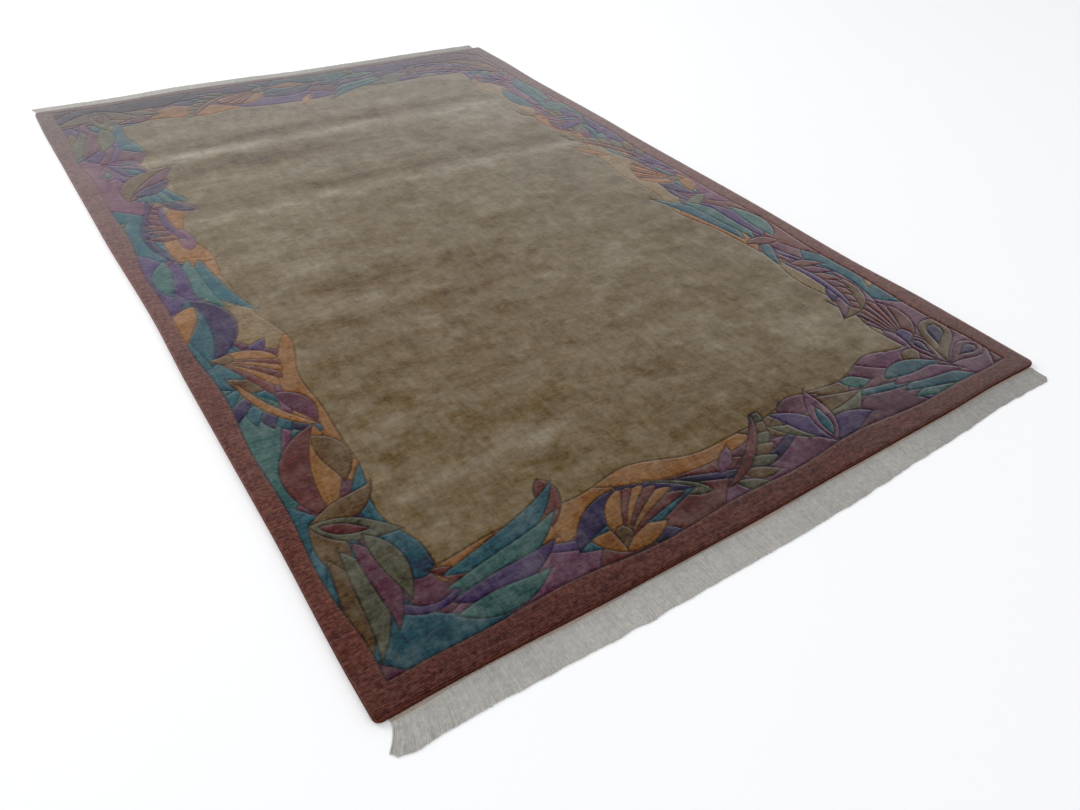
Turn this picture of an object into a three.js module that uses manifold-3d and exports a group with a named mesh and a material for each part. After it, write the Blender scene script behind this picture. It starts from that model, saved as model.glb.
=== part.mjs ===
// A hand-knotted Nepalese wool rug, 200 x 300 cm, lying flat.
// X runs across the rug, +Y from its near end to its far end, +Z up.
// The origin is the middle of its underside. Lengths are millimetres and angles degrees.
import * as THREE from "three";
import { mergeVertices } from "three/addons/utils/BufferGeometryUtils.js";
import Module from "manifold-3d";

const wasm = await Module();
wasm.setup();

// The knotted body
const WIDTH = 2000;
const LENGTH = 3010;
const THICKNESS = 15;
const CORNER_RADIUS = 16;
const CORNER_STEPS = 4;
const SIDE_STEPS = 14;

// How far each edge bulges out from a straight line, read at places along it
const EDGE_DRIFT = {
  left: [
    { along: -1500, out: 1 },
    { along: -1380, out: 2 },
    { along: -1000, out: -3 },
    { along: -430, out: -2 },
    { along: -140, out: -6 },
    { along: 430, out: 4 },
    { along: 920, out: 6 },
    { along: 1300, out: 8 },
    { along: 1500, out: 5 },
  ],
  right: [
    { along: -1500, out: 1 },
    { along: -1130, out: 5 },
    { along: -860, out: -6 },
    { along: -380, out: 2 },
    { along: 220, out: -2 },
    { along: 450, out: 3 },
    { along: 980, out: -2 },
    { along: 1280, out: 7 },
    { along: 1500, out: 5 },
  ],
  near: [
    { along: -1000, out: -2 },
    { along: -840, out: -4 },
    { along: -430, out: 4 },
    { along: -100, out: 5 },
    { along: 200, out: 1 },
    { along: 560, out: -1 },
    { along: 830, out: -7 },
    { along: 1000, out: -5 },
  ],
  far: [
    { along: -1000, out: -3 },
    { along: -700, out: -6 },
    { along: -440, out: 9 },
    { along: -200, out: 5 },
    { along: 70, out: -7 },
    { along: 360, out: -3 },
    { along: 680, out: 1 },
    { along: 1000, out: -2 },
  ],
};

// The body's rim from the floor to the top of the pile, which is rolled over by use
const RIM = [
  { height: 0, inset: 1 },
  { height: 3, inset: 0 },
  { height: 11, inset: 0 },
  { height: 14, inset: 2 },
  { height: THICKNESS, inset: 6 },
];

// The grooves that a carver cuts into the pile along each colour's outline
const GROOVE_WIDTH = 5;
const GROOVE_DEPTH = 2.4;

// The plain frame at the rug's edge, and the plain field in its middle, as distances from the edge
const FRAME = { left: 52, right: 67, near: 62, far: 47 };
const FIELD = { left: 248, right: 268, near: 243, far: 293 };
const BORDER_TURN = 95;

// The fringed ends: a flat-woven strip with the warp ends as locks
const PIECE_GAP = 0.3;
const STRIP_WIDTH = 12;
const STRIP_THICKNESS = 3;
const LOCKS = 98;
const LOCK_COVER = 0.84;
const LOCK_SECTIONS = [
  { reach: 0, width: 1, thickness: 2.5 },
  { reach: 0.6, width: 0.94, thickness: 2.4 },
  { reach: 1, width: 0.5, thickness: 1.2 },
];
const LOCK_CREST = 0.62;
const LOCK_ROOT = 1;
// How far a tip leans: from lock to lock, and at the row's ends, by firstLeans and lastLeans. There
// the lean fades by so many locks in.
const LOCK_LEAN = { wave: 4, jitter: 1.1, fades: 5 };
const TIP_JAG = 2.5;
const ENDS = {
  near: {
    from: -975,
    to: 981,
    firstLeans: -28,
    lastLeans: 0,
    reach: [
      { along: -975, out: 66 },
      { along: -940, out: 73 },
      { along: -400, out: 77 },
      { along: 130, out: 79 },
      { along: 440, out: 69 },
      { along: 740, out: 61 },
      { along: 970, out: 62 },
    ],
  },
  far: {
    from: -994,
    to: 984,
    firstLeans: -12,
    lastLeans: 7,
    reach: [
      { along: -900, out: 70 },
      { along: -300, out: 76 },
      { along: 300, out: 71 },
      { along: 900, out: 74 },
    ],
  },
};

const radians = THREE.MathUtils.degToRad;

// Reads a short table of places along an edge, smoothly from one to the next
function readTable(rows, along) {
  const next = rows.findIndex((row) => row.along > along);
  if (next === 0) return rows[0].out;
  if (next === -1) return rows[rows.length - 1].out;
  const a = rows[next - 1];
  const b = rows[next];
  const part = THREE.MathUtils.smoothstep(along, a.along, b.along);
  return THREE.MathUtils.lerp(a.out, b.out, part);
}

const leftEdge = (y) => -WIDTH / 2 - readTable(EDGE_DRIFT.left, y);
const rightEdge = (y) => WIDTH / 2 + readTable(EDGE_DRIFT.right, y);
const nearEdge = (x) => -LENGTH / 2 - readTable(EDGE_DRIFT.near, x);
const farEdge = (x) => LENGTH / 2 + readTable(EDGE_DRIFT.far, x);

// The body's outline, drawn in by an inset, anticlockwise from its near left corner
function bodyOutline(inset) {
  const radius = CORNER_RADIUS - inset;
  const points = [];
  const corner = (x, y, from) => {
    for (let step = 0; step <= CORNER_STEPS; step++) {
      const turn = radians(from + (90 * step) / CORNER_STEPS);
      points.push(new THREE.Vector2(x + radius * Math.cos(turn), y + radius * Math.sin(turn)));
    }
  };
  const side = (low, high, place) => {
    for (let step = 1; step < SIDE_STEPS; step++)
      points.push(place(THREE.MathUtils.lerp(low, high, step / SIDE_STEPS)));
  };
  const x0 = leftEdge(-LENGTH / 2) + CORNER_RADIUS;
  const x1 = rightEdge(-LENGTH / 2) - CORNER_RADIUS;
  const x2 = rightEdge(LENGTH / 2) - CORNER_RADIUS;
  const x3 = leftEdge(LENGTH / 2) + CORNER_RADIUS;
  const y0 = nearEdge(-WIDTH / 2) + CORNER_RADIUS;
  const y1 = nearEdge(WIDTH / 2) + CORNER_RADIUS;
  const y2 = farEdge(WIDTH / 2) - CORNER_RADIUS;
  const y3 = farEdge(-WIDTH / 2) - CORNER_RADIUS;
  corner(x0, y0, 180);
  side(x0, x1, (x) => new THREE.Vector2(x, nearEdge(x) + inset));
  corner(x1, y1, 270);
  side(y1, y2, (y) => new THREE.Vector2(rightEdge(y) - inset, y));
  corner(x2, y2, 0);
  side(x2, x3, (x) => new THREE.Vector2(x, farEdge(x) - inset));
  corner(x3, y3, 90);
  side(y3, y0, (y) => new THREE.Vector2(leftEdge(y) + inset, y));
  return points;
}

// A closed skin over rings of points, all with as many points, with a cap on the first and last
function skin(rings) {
  const count = rings[0].length;
  const positions = rings.flat().flatMap((p) => [p.x, p.y, p.z]);
  const faces = [];
  for (let ring = 0; ring + 1 < rings.length; ring++) {
    for (let i = 0; i < count; i++) {
      const a = ring * count + i;
      const b = ring * count + ((i + 1) % count);
      faces.push(a, b, b + count, a, b + count, a + count);
    }
  }
  const top = (rings.length - 1) * count;
  const flat = (ring) => ring.map((p) => new THREE.Vector2(p.x, p.y));
  for (const [a, b, c] of THREE.ShapeUtils.triangulateShape(flat(rings[0]), [])) faces.push(a, c, b);
  for (const [a, b, c] of THREE.ShapeUtils.triangulateShape(flat(rings[rings.length - 1]), []))
    faces.push(top + a, top + b, top + c);
  const geometry = new THREE.BufferGeometry();
  geometry.setAttribute("position", new THREE.Float32BufferAttribute(positions, 3));
  geometry.setIndex(faces);
  return geometry;
}

const raised = (points, z) => points.map((p) => new THREE.Vector3(p.x, p.y, z));

function solidOf(geometry) {
  const bare = new THREE.BufferGeometry();
  bare.setAttribute("position", geometry.getAttribute("position"));
  if (geometry.index) bare.setIndex(geometry.index);
  const merged = mergeVertices(bare, 1e-4);
  return new wasm.Manifold(
    new wasm.Mesh({
      numProp: 3,
      vertProperties: new Float32Array(merged.attributes.position.array),
      triVerts: new Uint32Array(merged.index.array),
    }),
  );
}

function geometryOf(solid) {
  const mesh = solid.getMesh();
  const geometry = new THREE.BufferGeometry();
  geometry.setAttribute("position", new THREE.BufferAttribute(new Float32Array(mesh.vertProperties), 3));
  geometry.setIndex(new THREE.BufferAttribute(new Uint32Array(mesh.triVerts), 1));
  return geometry;
}

// The lines that part the frame, the border and the field
const frameLine = {
  left: -WIDTH / 2 + FRAME.left,
  right: WIDTH / 2 - FRAME.right,
  near: -LENGTH / 2 + FRAME.near,
  far: LENGTH / 2 - FRAME.far,
};
const fieldLine = {
  left: -WIDTH / 2 + FIELD.left,
  right: WIDTH / 2 - FIELD.right,
  near: -LENGTH / 2 + FIELD.near,
  far: LENGTH / 2 - FIELD.far,
};

// The border's middle line: a rectangle with round corners, from the near left, anticlockwise
const middle = (side) => (frameLine[side] + fieldLine[side]) / 2;
const acrossRun = middle("right") - middle("left") - 2 * BORDER_TURN;
const alongRun = middle("far") - middle("near") - 2 * BORDER_TURN;
const turnRun = (BORDER_TURN * Math.PI) / 2;
const BORDER_RUN = 2 * (acrossRun + alongRun + 2 * turnRun);

// A place in the border: a distance along its middle line, and one across it towards the field,
// which in a turn stops short of the turn's heart
const TURN_HEART = 5;

function inBorder(along, across) {
  let rest = ((along % BORDER_RUN) + BORDER_RUN) % BORDER_RUN;
  let heading = 0;
  let inTurn = false;
  let x = middle("left") + BORDER_TURN;
  let y = middle("near");
  for (const run of [acrossRun, alongRun, acrossRun, alongRun]) {
    const straight = Math.min(rest, run);
    x += straight * Math.cos(heading);
    y += straight * Math.sin(heading);
    rest -= straight;
    const turn = Math.min(rest, turnRun) / BORDER_TURN;
    x += BORDER_TURN * (Math.sin(heading + turn) - Math.sin(heading));
    y -= BORDER_TURN * (Math.cos(heading + turn) - Math.cos(heading));
    rest -= turn * BORDER_TURN;
    heading += turn;
    inTurn = turn > 0;
    if (rest <= 0) break;
  }
  const reach = inTurn ? Math.min(across, BORDER_TURN - TURN_HEART) : across;
  return { x: x - reach * Math.sin(heading), y: y + reach * Math.cos(heading), heading };
}

// One blade of foliage is drawn about an arc: it starts at a place and turns by bend over its length.
// peak moves its widest part towards the tip, and blunt below 1 rounds its ends.
const BLADE_STEP = 45;
const FEWEST_STEPS = 3;
const BLADES = {
  leaf: { peak: 0.85, blunt: 1 },
  petal: { peak: 1.5, blunt: 0.62 },
  rib: { peak: 1, blunt: 0.55 },
  drop: { peak: 1.9, blunt: 0.75 },
};

// The place on the arc after a part of its length
function onArc(start, length, bend, part) {
  const half = (bend * part) / 2;
  const chord = length * part * (half ? Math.sin(half) / half : 1);
  const way = start.heading + half;
  const heading = way + half;
  return { x: start.x + chord * Math.cos(way), y: start.y + chord * Math.sin(way), heading };
}

// side 1 or -1 gives only the half on that side of the arc
function blade(kind, start, length, width, bend, side = 0) {
  const { peak, blunt } = BLADES[kind];
  const steps = Math.max(FEWEST_STEPS, Math.round(length / BLADE_STEP));
  const edge = (step, sign) => {
    const part = step / steps;
    const p = onArc(start, length, bend, part);
    const reach = sign * (width / 2) * Math.max(0, Math.sin(Math.PI * part ** peak)) ** blunt;
    return new THREE.Vector2(p.x - reach * Math.sin(p.heading), p.y + reach * Math.cos(p.heading));
  };
  const points = [];
  for (let step = 0; step < steps; step++) points.push(edge(step, side > 0 ? 0 : -1));
  for (let step = steps; step > 0; step--) points.push(edge(step, side < 0 ? 0 : 1));
  return points;
}

const turned = (place, turn) => ({ ...place, heading: place.heading + turn });
const moved = (place, ahead, turn = 0) => ({
  x: place.x + ahead * Math.cos(place.heading + turn),
  y: place.y + ahead * Math.sin(place.heading + turn),
  heading: place.heading,
});

// The kinds of spray. Each is a list of outlines, the lowest first, from where it grows,
// the side of the stem that it grows on (1 towards the field) and its size.
const SPRAY_KINDS = {
  // a broad leaf in two halves with a leaflet at its foot
  bough(start, side, size) {
    const bend = -0.75 * side;
    const foot = turned(onArc(start, size, bend, 0.12), -side);
    return [
      blade("leaf", start, size, 0.4 * size, bend),
      blade("leaf", start, size, 0.4 * size, bend, side),
      blade("leaf", foot, 0.55 * size, 0.2 * size, 0.9 * side),
    ];
  },
  // six ribs that spread from a small cup
  fan(start, side, size) {
    const ribs = [0, 1, 2, 3, 4, 5].map((rib) =>
      blade(
        "rib",
        turned(start, side * (rib - 2.5) * 0.19),
        size * (1.08 - 0.06 * rib),
        0.19 * size,
        -side * (0.75 + 0.07 * rib),
      ),
    );
    return [...ribs, blade("drop", moved(start, -0.12 * size), 0.34 * size, 0.2 * size, 0)];
  },
  // leaflets along one side of a curved rib
  frond(start, side, size) {
    const length = 1.25 * size;
    const bend = 0.7 * side;
    const leaflets = [6, 5, 4, 3, 2, 1, 0].map((leaflet) => {
      const foot = onArc(start, length, bend, 0.1 + 0.13 * leaflet);
      const grown = (0.4 - 0.035 * leaflet) * length;
      return blade("leaf", turned(foot, -side * (1.15 - 0.1 * leaflet)), grown, 0.13 * length, 0.5 * side);
    });
    return [...leaflets, blade("rib", start, length, 0.09 * length, bend)];
  },
  // a flower seen from the side, with three petals and a heart
  lily(start, side, size) {
    return [
      blade("leaf", turned(start, 0.5), 0.85 * size, 0.3 * size, 0.9),
      blade("leaf", turned(start, -0.5), 0.85 * size, 0.3 * size, -0.9),
      blade("leaf", start, 0.9 * size, 0.3 * size, 0.15 * side),
      blade("leaf", moved(start, 0.1 * size), 0.5 * size, 0.14 * size, 0.15 * side),
    ];
  },
  // four long blades side by side, each shorter than the one before
  swell(start, side, size) {
    return [0, 1, 2, 3].map((fold) =>
      blade(
        "leaf",
        turned(moved(start, -0.115 * size * fold, -1.5 * side), 0.06 * side * fold),
        size * (1.25 - 0.16 * fold),
        0.2 * size,
        -side * (0.9 - 0.08 * fold),
      ),
    );
  },
  // three seed pods, each with its seed
  pods(start, side, size) {
    const pods = [
      { turn: 0.75, grown: 0.62 },
      { turn: -0.6, grown: 0.7 },
      { turn: 0.1, grown: 0.95 },
    ];
    return pods.flatMap(({ turn, grown }) => {
      const foot = turned(start, turn * side);
      const length = grown * size;
      const bend = -0.4 * side;
      return [
        blade("drop", foot, length, 0.42 * length, bend),
        blade("drop", onArc(foot, length, bend, 0.38), 0.48 * length, 0.2 * length, bend / 2),
      ];
    });
  },
};

// The sprays in the order in which they follow each other round the border.
// lean is the angle from the way that the border runs, towards the spray's side.
const SPRAYS = [
  { kind: "swell", lean: 8, size: 290, across: 62, side: -1 },
  { kind: "bough", lean: 24, size: 310, across: -42, side: 1 },
  { kind: "fan", lean: 62, size: 215, across: -66, side: 1 },
  { kind: "frond", lean: 14, size: 240, across: -58, side: 1 },
  { kind: "bough", lean: 26, size: 300, across: 52, side: -1 },
  { kind: "lily", lean: 62, size: 215, across: -72, side: 1 },
  { kind: "swell", lean: 4, size: 300, across: -74, side: 1 },
  { kind: "pods", lean: 34, size: 225, across: -46, side: 1 },
  { kind: "fan", lean: 40, size: 225, across: 58, side: -1 },
  { kind: "bough", lean: 152, size: 280, across: -30, side: 1 },
  { kind: "frond", lean: 165, size: 235, across: 66, side: -1 },
];
const SPRAY_COUNT = 40;

// How far one spray differs from the next of its kind: in pitches, mm, degrees and shares
const SPRAY_SWAY = { along: 0.3, across: 8, lean: 8, size: 0.12 };

function sprayOutlines(index) {
  const { kind, lean, size, across, side } = SPRAYS[index % SPRAYS.length];
  const along = (BORDER_RUN * (index + SPRAY_SWAY.along * Math.sin(2.2 * index))) / SPRAY_COUNT;
  const foot = inBorder(along, across + SPRAY_SWAY.across * Math.sin(1.1 * index));
  const way = side * radians(lean + SPRAY_SWAY.lean * Math.sin(3.1 * index));
  const grown = size * (1 + SPRAY_SWAY.size * Math.sin(1.9 * index));
  return SPRAY_KINDS[kind](turned(foot, way), side, grown);
}

// Patches of ground colour that rise from the frame and from the field, each overlapping the next.
// foot and crest are places across the border, before and after are in pitches.
const PATCHES = {
  frame: { count: 23, foot: -145, crest: 25, crestSway: 25, before: -0.35, after: 1.2 },
  field: { count: 19, foot: 175, crest: -5, crestSway: 30, before: -0.3, after: 1.15 },
};
const PATCH_STEPS = 7;
const PATCH_BLUNT = 0.6;

function patch(from, to, foot, crest) {
  const point = (part, rise) => {
    const { x, y } = inBorder(BORDER_RUN * (from + (to - from) * part), foot + (crest - foot) * rise);
    return new THREE.Vector2(x, y);
  };
  const points = [];
  for (let step = 0; step <= PATCH_STEPS; step++) {
    const part = step / PATCH_STEPS;
    points.push(point(part, Math.max(0, Math.sin(Math.PI * part)) ** PATCH_BLUNT));
  }
  for (let step = PATCH_STEPS - 1; step > 0; step--) points.push(point(step / PATCH_STEPS, 0));
  return foot < 0 ? points : points.reverse();
}

function groundOutlines() {
  return Object.values(PATCHES).flatMap(({ count, foot, crest, crestSway, before, after }) =>
    Array.from({ length: count }, (_, i) => {
      const from = (i + before + 0.1 * Math.sin(2.9 * i)) / count;
      const to = (i + after + 0.3 * Math.sin(2.3 * i)) / count;
      return patch(from, to, foot, crest + crestSway * Math.sin(1.9 * i));
    }),
  );
}

const sidesOf = (loop) => loop.map((from, i) => ({ from, to: loop[(i + 1) % loop.length] }));

// How the frame's line and the field's waver inwards, as waves that are counted round the rug.
// They die away towards each corner.
const FRAME_WAVES = [
  { count: 9, reach: 6, start: 0.4 },
  { count: 22, reach: 5, start: 2 },
];
const FIELD_WAVES = [
  { count: 7, reach: 20, start: 0 },
  { count: 17, reach: 13, start: 1 },
  { count: 29, reach: 6, start: 2.5 },
];
const WAVE_STEP = 66;
const WAVE_FADE = 150;

function waveringLine({ left, right, near, far }, waves) {
  const corners = [
    new THREE.Vector2(left, near),
    new THREE.Vector2(right, near),
    new THREE.Vector2(right, far),
    new THREE.Vector2(left, far),
  ];
  const whole = 2 * (right - left + far - near);
  let gone = 0;
  return sidesOf(corners).flatMap(({ from, to }) => {
    const length = from.distanceTo(to);
    const way = to.clone().sub(from).normalize();
    const steps = Math.round(length / WAVE_STEP);
    const points = Array.from({ length: steps }, (_, step) => {
      const along = (length * step) / steps;
      const turn = (2 * Math.PI * (gone + along)) / whole;
      const fade = THREE.MathUtils.smoothstep(Math.min(along, length - along), 0, WAVE_FADE);
      const parts = waves.map(({ count, reach, start }) => reach * Math.sin(count * turn + start));
      const inwards = fade * parts.reduce((a, b) => a + b);
      const aside = new THREE.Vector2(-way.y, way.x).multiplyScalar(inwards);
      return from.clone().addScaledVector(way, along).add(aside);
    });
    gone += length;
    return points;
  });
}

const frameOutline = waveringLine(frameLine, FRAME_WAVES);

// The whole border's outlines, the lowest first
function borderOutlines() {
  const outlines = [...groundOutlines(), waveringLine(fieldLine, FIELD_WAVES)];
  for (let index = 0; index < SPRAY_COUNT; index++) outlines.push(...sprayOutlines(index));
  return [...outlines, frameOutline];
}

// Below this a length or an area is none
const TINY = 1e-6;

// Where the lines a and b cross, as shares of their lengths
function crossing(a, b) {
  const along = a.to.clone().sub(a.from);
  const other = b.to.clone().sub(b.from);
  const turn = along.cross(other);
  if (Math.abs(turn) < TINY) return null;
  const apart = b.from.clone().sub(a.from);
  const onA = apart.cross(other) / turn;
  const onB = apart.cross(along) / turn;
  return onA >= 0 && onA <= 1 && onB >= 0 && onB <= 1 ? { onA, onB } : null;
}

function inside(point, outline) {
  let within = false;
  outline.forEach((p, i) => {
    const q = outline[(i + 1) % outline.length];
    if (p.y > point.y !== q.y > point.y && point.x < p.x + ((q.x - p.x) * (point.y - p.y)) / (q.y - p.y))
      within = !within;
  });
  return within;
}

// The lines that show: every outline is cut where another crosses it, and a stretch that a later
// one covers is left out. The last outline is the frame's, which covers all that lies outside it.
function shownLines(outlines) {
  const lines = outlines.flatMap((outline, layer) =>
    sidesOf(outline).map(({ from, to }) => ({ layer, from, to, cuts: [0, 1] })),
  );
  const frame = outlines.length - 1;
  const covers = (other, point) => (other === frame) !== inside(point, outlines[other]);
  const boxes = lines.map(({ from, to }) => new THREE.Box2().setFromPoints([from, to]));
  lines.forEach((a, i) => {
    for (let j = i + 1; j < lines.length; j++) {
      if (lines[j].layer === a.layer || !boxes[i].intersectsBox(boxes[j])) continue;
      const met = crossing(a, lines[j]);
      if (!met) continue;
      a.cuts.push(met.onA);
      lines[j].cuts.push(met.onB);
    }
  });
  const shown = [];
  for (const { layer, from, to, cuts } of lines) {
    cuts.sort((a, b) => a - b);
    for (let i = 0; i + 1 < cuts.length; i++) {
      const ends = [cuts[i], cuts[i + 1]].map((part) => from.clone().lerp(to, part));
      const centre = ends[0].clone().lerp(ends[1], 0.5);
      const hidden = outlines.some((_, other) => other > layer && covers(other, centre));
      if (ends[0].distanceTo(ends[1]) > TINY && !hidden) shown.push(ends);
    }
  }
  return shown;
}

// The lines as a net: places, and for each the numbers of the places that it is joined to.
// Ends nearer than WELD are one place, and a place that bows a line by less than BOW is dropped.
const WELD = 4;
const BOW = 1;

function netOf(lines) {
  const places = [];
  const placeOf = (point) => {
    let index = places.findIndex((place) => place.distanceTo(point) < WELD);
    if (index < 0) index = places.push(point) - 1;
    return index;
  };
  const joined = [];
  const join = (a, b) => {
    (joined[a] ??= new Set()).add(b);
    (joined[b] ??= new Set()).add(a);
  };
  for (const [from, to] of lines.toReversed()) {
    const a = placeOf(from);
    const b = placeOf(to);
    if (a !== b) join(a, b);
  }
  places.forEach((place, index) => {
    const ends = [...(joined[index] ?? [])];
    if (ends.length !== 2 || joined[ends[0]].has(ends[1])) return;
    const [from, to] = ends.map((end) => places[end]);
    const past = to.clone().sub(from);
    if (Math.abs(place.clone().sub(from).cross(past)) > BOW * past.length()) return;
    for (const end of ends) joined[end].delete(index);
    joined[index].clear();
    join(ends[0], ends[1]);
  });
  return { places, joined: places.map((_, index) => [...(joined[index] ?? [])]) };
}

// Every loop of the net with its inside on the left
function loopsOf({ places, joined }) {
  const bearing = (from, to) => Math.atan2(places[to].y - places[from].y, places[to].x - places[from].x);
  joined.forEach((ends, place) => ends.sort((a, b) => bearing(place, a) - bearing(place, b)));
  const walked = new Set();
  const loops = [];
  joined.forEach((ends, start) => {
    for (const first of ends) {
      const loop = [];
      let from = start;
      let to = first;
      while (!walked.has(`${from} ${to}`)) {
        walked.add(`${from} ${to}`);
        loop.push(from);
        const ways = joined[to];
        const next = ways[(ways.indexOf(from) + ways.length - 1) % ways.length];
        [from, to] = [to, next];
      }
      if (loop.length > 2) loops.push(loop);
    }
  });
  return loops;
}

// The loop's points moved to its left by the groove's half width, as a carver's shears leave it,
// with each point where the loop runs straight on given that of the one before it.
// Where there is no room for that the groove is slimmer, and null says that there is none at all.
const STRAIGHT = 0.02;
const isStraight = (before, after) => Math.abs(before.cross(after)) < STRAIGHT && before.dot(after) > 0;
const LONGEST_MITRE = 3;
const SLIMMER = 0.6;
const MOST_TRIES = 9;

function shoulderOf(corners) {
  const count = corners.length;
  const ways = sidesOf(corners).map(({ from, to }) => to.clone().sub(from).normalize());
  const straight = ways.map((way, i) => isStraight(ways[(i + count - 1) % count], way));
  const first = straight.indexOf(false);
  const order = [...straight.keys()].map((i) => (first + i) % count);
  const aside = corners.map(() => GROOVE_WIDTH / 2);
  for (let tries = 0; tries < MOST_TRIES; tries++) {
    const points = [];
    for (const i of order) {
      const way = ways[(i + count - 1) % count].clone().add(ways[i]).normalize();
      const reach = aside[i] / Math.max(1 / LONGEST_MITRE, way.dot(ways[i]));
      const moved = new THREE.Vector2(corners[i].x - way.y * reach, corners[i].y + way.x * reach);
      points[i] = straight[i] ? points[(i + count - 1) % count] : moved;
    }
    const sides = sidesOf(points);
    const tight = new Set();
    points.forEach((point, i) => {
      const next = (i + 1) % count;
      const low = corners[next].clone().sub(corners[i]);
      const high = points[next].clone().sub(corners[i]);
      const folded = points[next] !== point && high.cross(point.clone().sub(corners[i])) <= 0;
      if (low.cross(high) <= 0 || folded) [i, next].forEach((corner) => tight.add(corner));
      for (let j = i + 2; j < count; j++) {
        const [a, b] = [sides[i], sides[j]];
        const joined = a.from === a.to || b.from === b.to || a.to === b.from || b.to === a.from;
        if (!joined && crossing(a, b)) [i, next, j, (j + 1) % count].forEach((corner) => tight.add(corner));
      }
    });
    if (!tight.size) return points;
    for (const corner of tight) aside[corner] *= SLIMMER;
  }
  return null;
}

// Takes a line out of the net, and with it those that then end at nothing
function takeOut({ joined }, a, b) {
  if (!joined[a].includes(b)) return;
  joined[a].splice(joined[a].indexOf(b), 1);
  joined[b].splice(joined[b].indexOf(a), 1);
  for (const end of [a, b]) if (joined[end].length === 1) takeOut({ joined }, end, joined[end][0]);
}

const onFrameLine = (place) =>
  sidesOf(frameOutline).some(({ from, to }) => {
    const past = to.clone().sub(from);
    const along = THREE.MathUtils.clamp(place.clone().sub(from).dot(past) / past.lengthSq(), 0, 1);
    return place.distanceTo(from.clone().lerp(to, along)) < WELD;
  });

// The smallest loop round a hole
function loopAround(hole, loops) {
  const [place] = hole.corners;
  const others = loops.filter(({ corners, area }) => area > 0 && !corners.includes(place));
  const around = others.filter(({ corners }) => inside(place, corners));
  return around.sort((a, b) => a.area - b.area)[0];
}

// Every loop with its shoulder and its area, below 0 for a hole. A sliver that would be all groove
// joins the patch beyond its longest side, which is taken out of the net, as is a line with the
// same loop on both its sides. So is a hole whose groove would cut the one round it.
function carvedLoops(net) {
  const free = ({ from, to }) => !(onFrameLine(net.places[from]) && onFrameLine(net.places[to]));
  const lengthOf = ({ from, to }) => net.places[from].distanceTo(net.places[to]);
  for (;;) {
    const loops = loopsOf(net).map((loop) => {
      const corners = loop.map((i) => net.places[i]);
      return { loop, corners, area: THREE.ShapeUtils.area(corners), shoulder: shoulderOf(corners) };
    });
    const sliver = loops.find(({ shoulder }) => !shoulder);
    const meets = (a, b) => sidesOf(a).some((side) => sidesOf(b).some((other) => crossing(side, other)));
    const crowded = loops.find((hole) => {
      const around = !sliver && hole.area < 0 && loopAround(hole, loops);
      return around && meets(hole.shoulder, around.shoulder);
    });
    if (sliver) {
      const sides = sidesOf(sliver.loop);
      const doubled = sides.find((a) => sides.some((b) => a.from === b.to && a.to === b.from));
      const longest = sides.filter(free).sort((a, b) => lengthOf(b) - lengthOf(a))[0];
      const { from, to } = doubled ?? longest;
      takeOut(net, from, to);
    } else if (crowded) {
      for (const { from, to } of sidesOf(crowded.loop)) takeOut(net, from, to);
    } else {
      return loops;
    }
  }
}

// The body: its rim, its flat underside, and on top the pile between the grooves of the net
function knottedPile() {
  const positions = [];
  const faces = [];
  const add = (points, z) => points.map((p) => positions.push([p.x, p.y, z]) - 1);
  // a wall between two loops, in which the higher one may hold a point twice running
  const quads = (low, high) =>
    low.forEach((a, i) => {
      const next = (i + 1) % low.length;
      faces.push([a, low[next], high[next]]);
      if (high[i] !== high[next]) faces.push([a, high[next], high[i]]);
    });
  // a flat face with holes, its first loop anticlockwise and the holes clockwise
  const flat = (loops, up = true) => {
    const [outer, ...holes] = loops.map((loop) => loop.map((i) => new THREE.Vector2(...positions[i])));
    const numbers = loops.flat();
    for (const triangle of THREE.ShapeUtils.triangulateShape(outer, holes)) {
      const [a, b, c] = triangle.map((i) => numbers[i]);
      faces.push(up ? [a, b, c] : [a, c, b]);
    }
  };

  const rings = RIM.map(({ height, inset }) => add(bodyOutline(inset), height));
  rings.slice(1).forEach((ring, i) => quads(rings[i], ring));
  flat([rings[0]], false);

  const net = netOf(shownLines(borderOutlines()));
  const floorOf = add(net.places, THICKNESS - GROOVE_DEPTH);
  const loops = carvedLoops(net);
  const plain = { top: rings[rings.length - 1], holes: [] };
  for (const part of loops) {
    const edge = [...new Set(part.shoulder)];
    part.top = add(edge, THICKNESS);
    part.holes = [];
    quads(part.loop.map((i) => floorOf[i]), part.shoulder.map((point) => part.top[edge.indexOf(point)]));
  }
  for (const hole of loops.filter(({ area }) => area < 0)) {
    const around = loopAround(hole, loops) ?? plain;
    around.holes.push(hole.top);
  }
  for (const { top, holes } of [plain, ...loops.filter(({ area }) => area > 0)]) flat([top, ...holes]);

  const geometry = new THREE.BufferGeometry();
  geometry.setAttribute("position", new THREE.Float32BufferAttribute(positions.flat(), 3));
  geometry.setIndex(faces.flat());
  return geometry;
}

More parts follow.
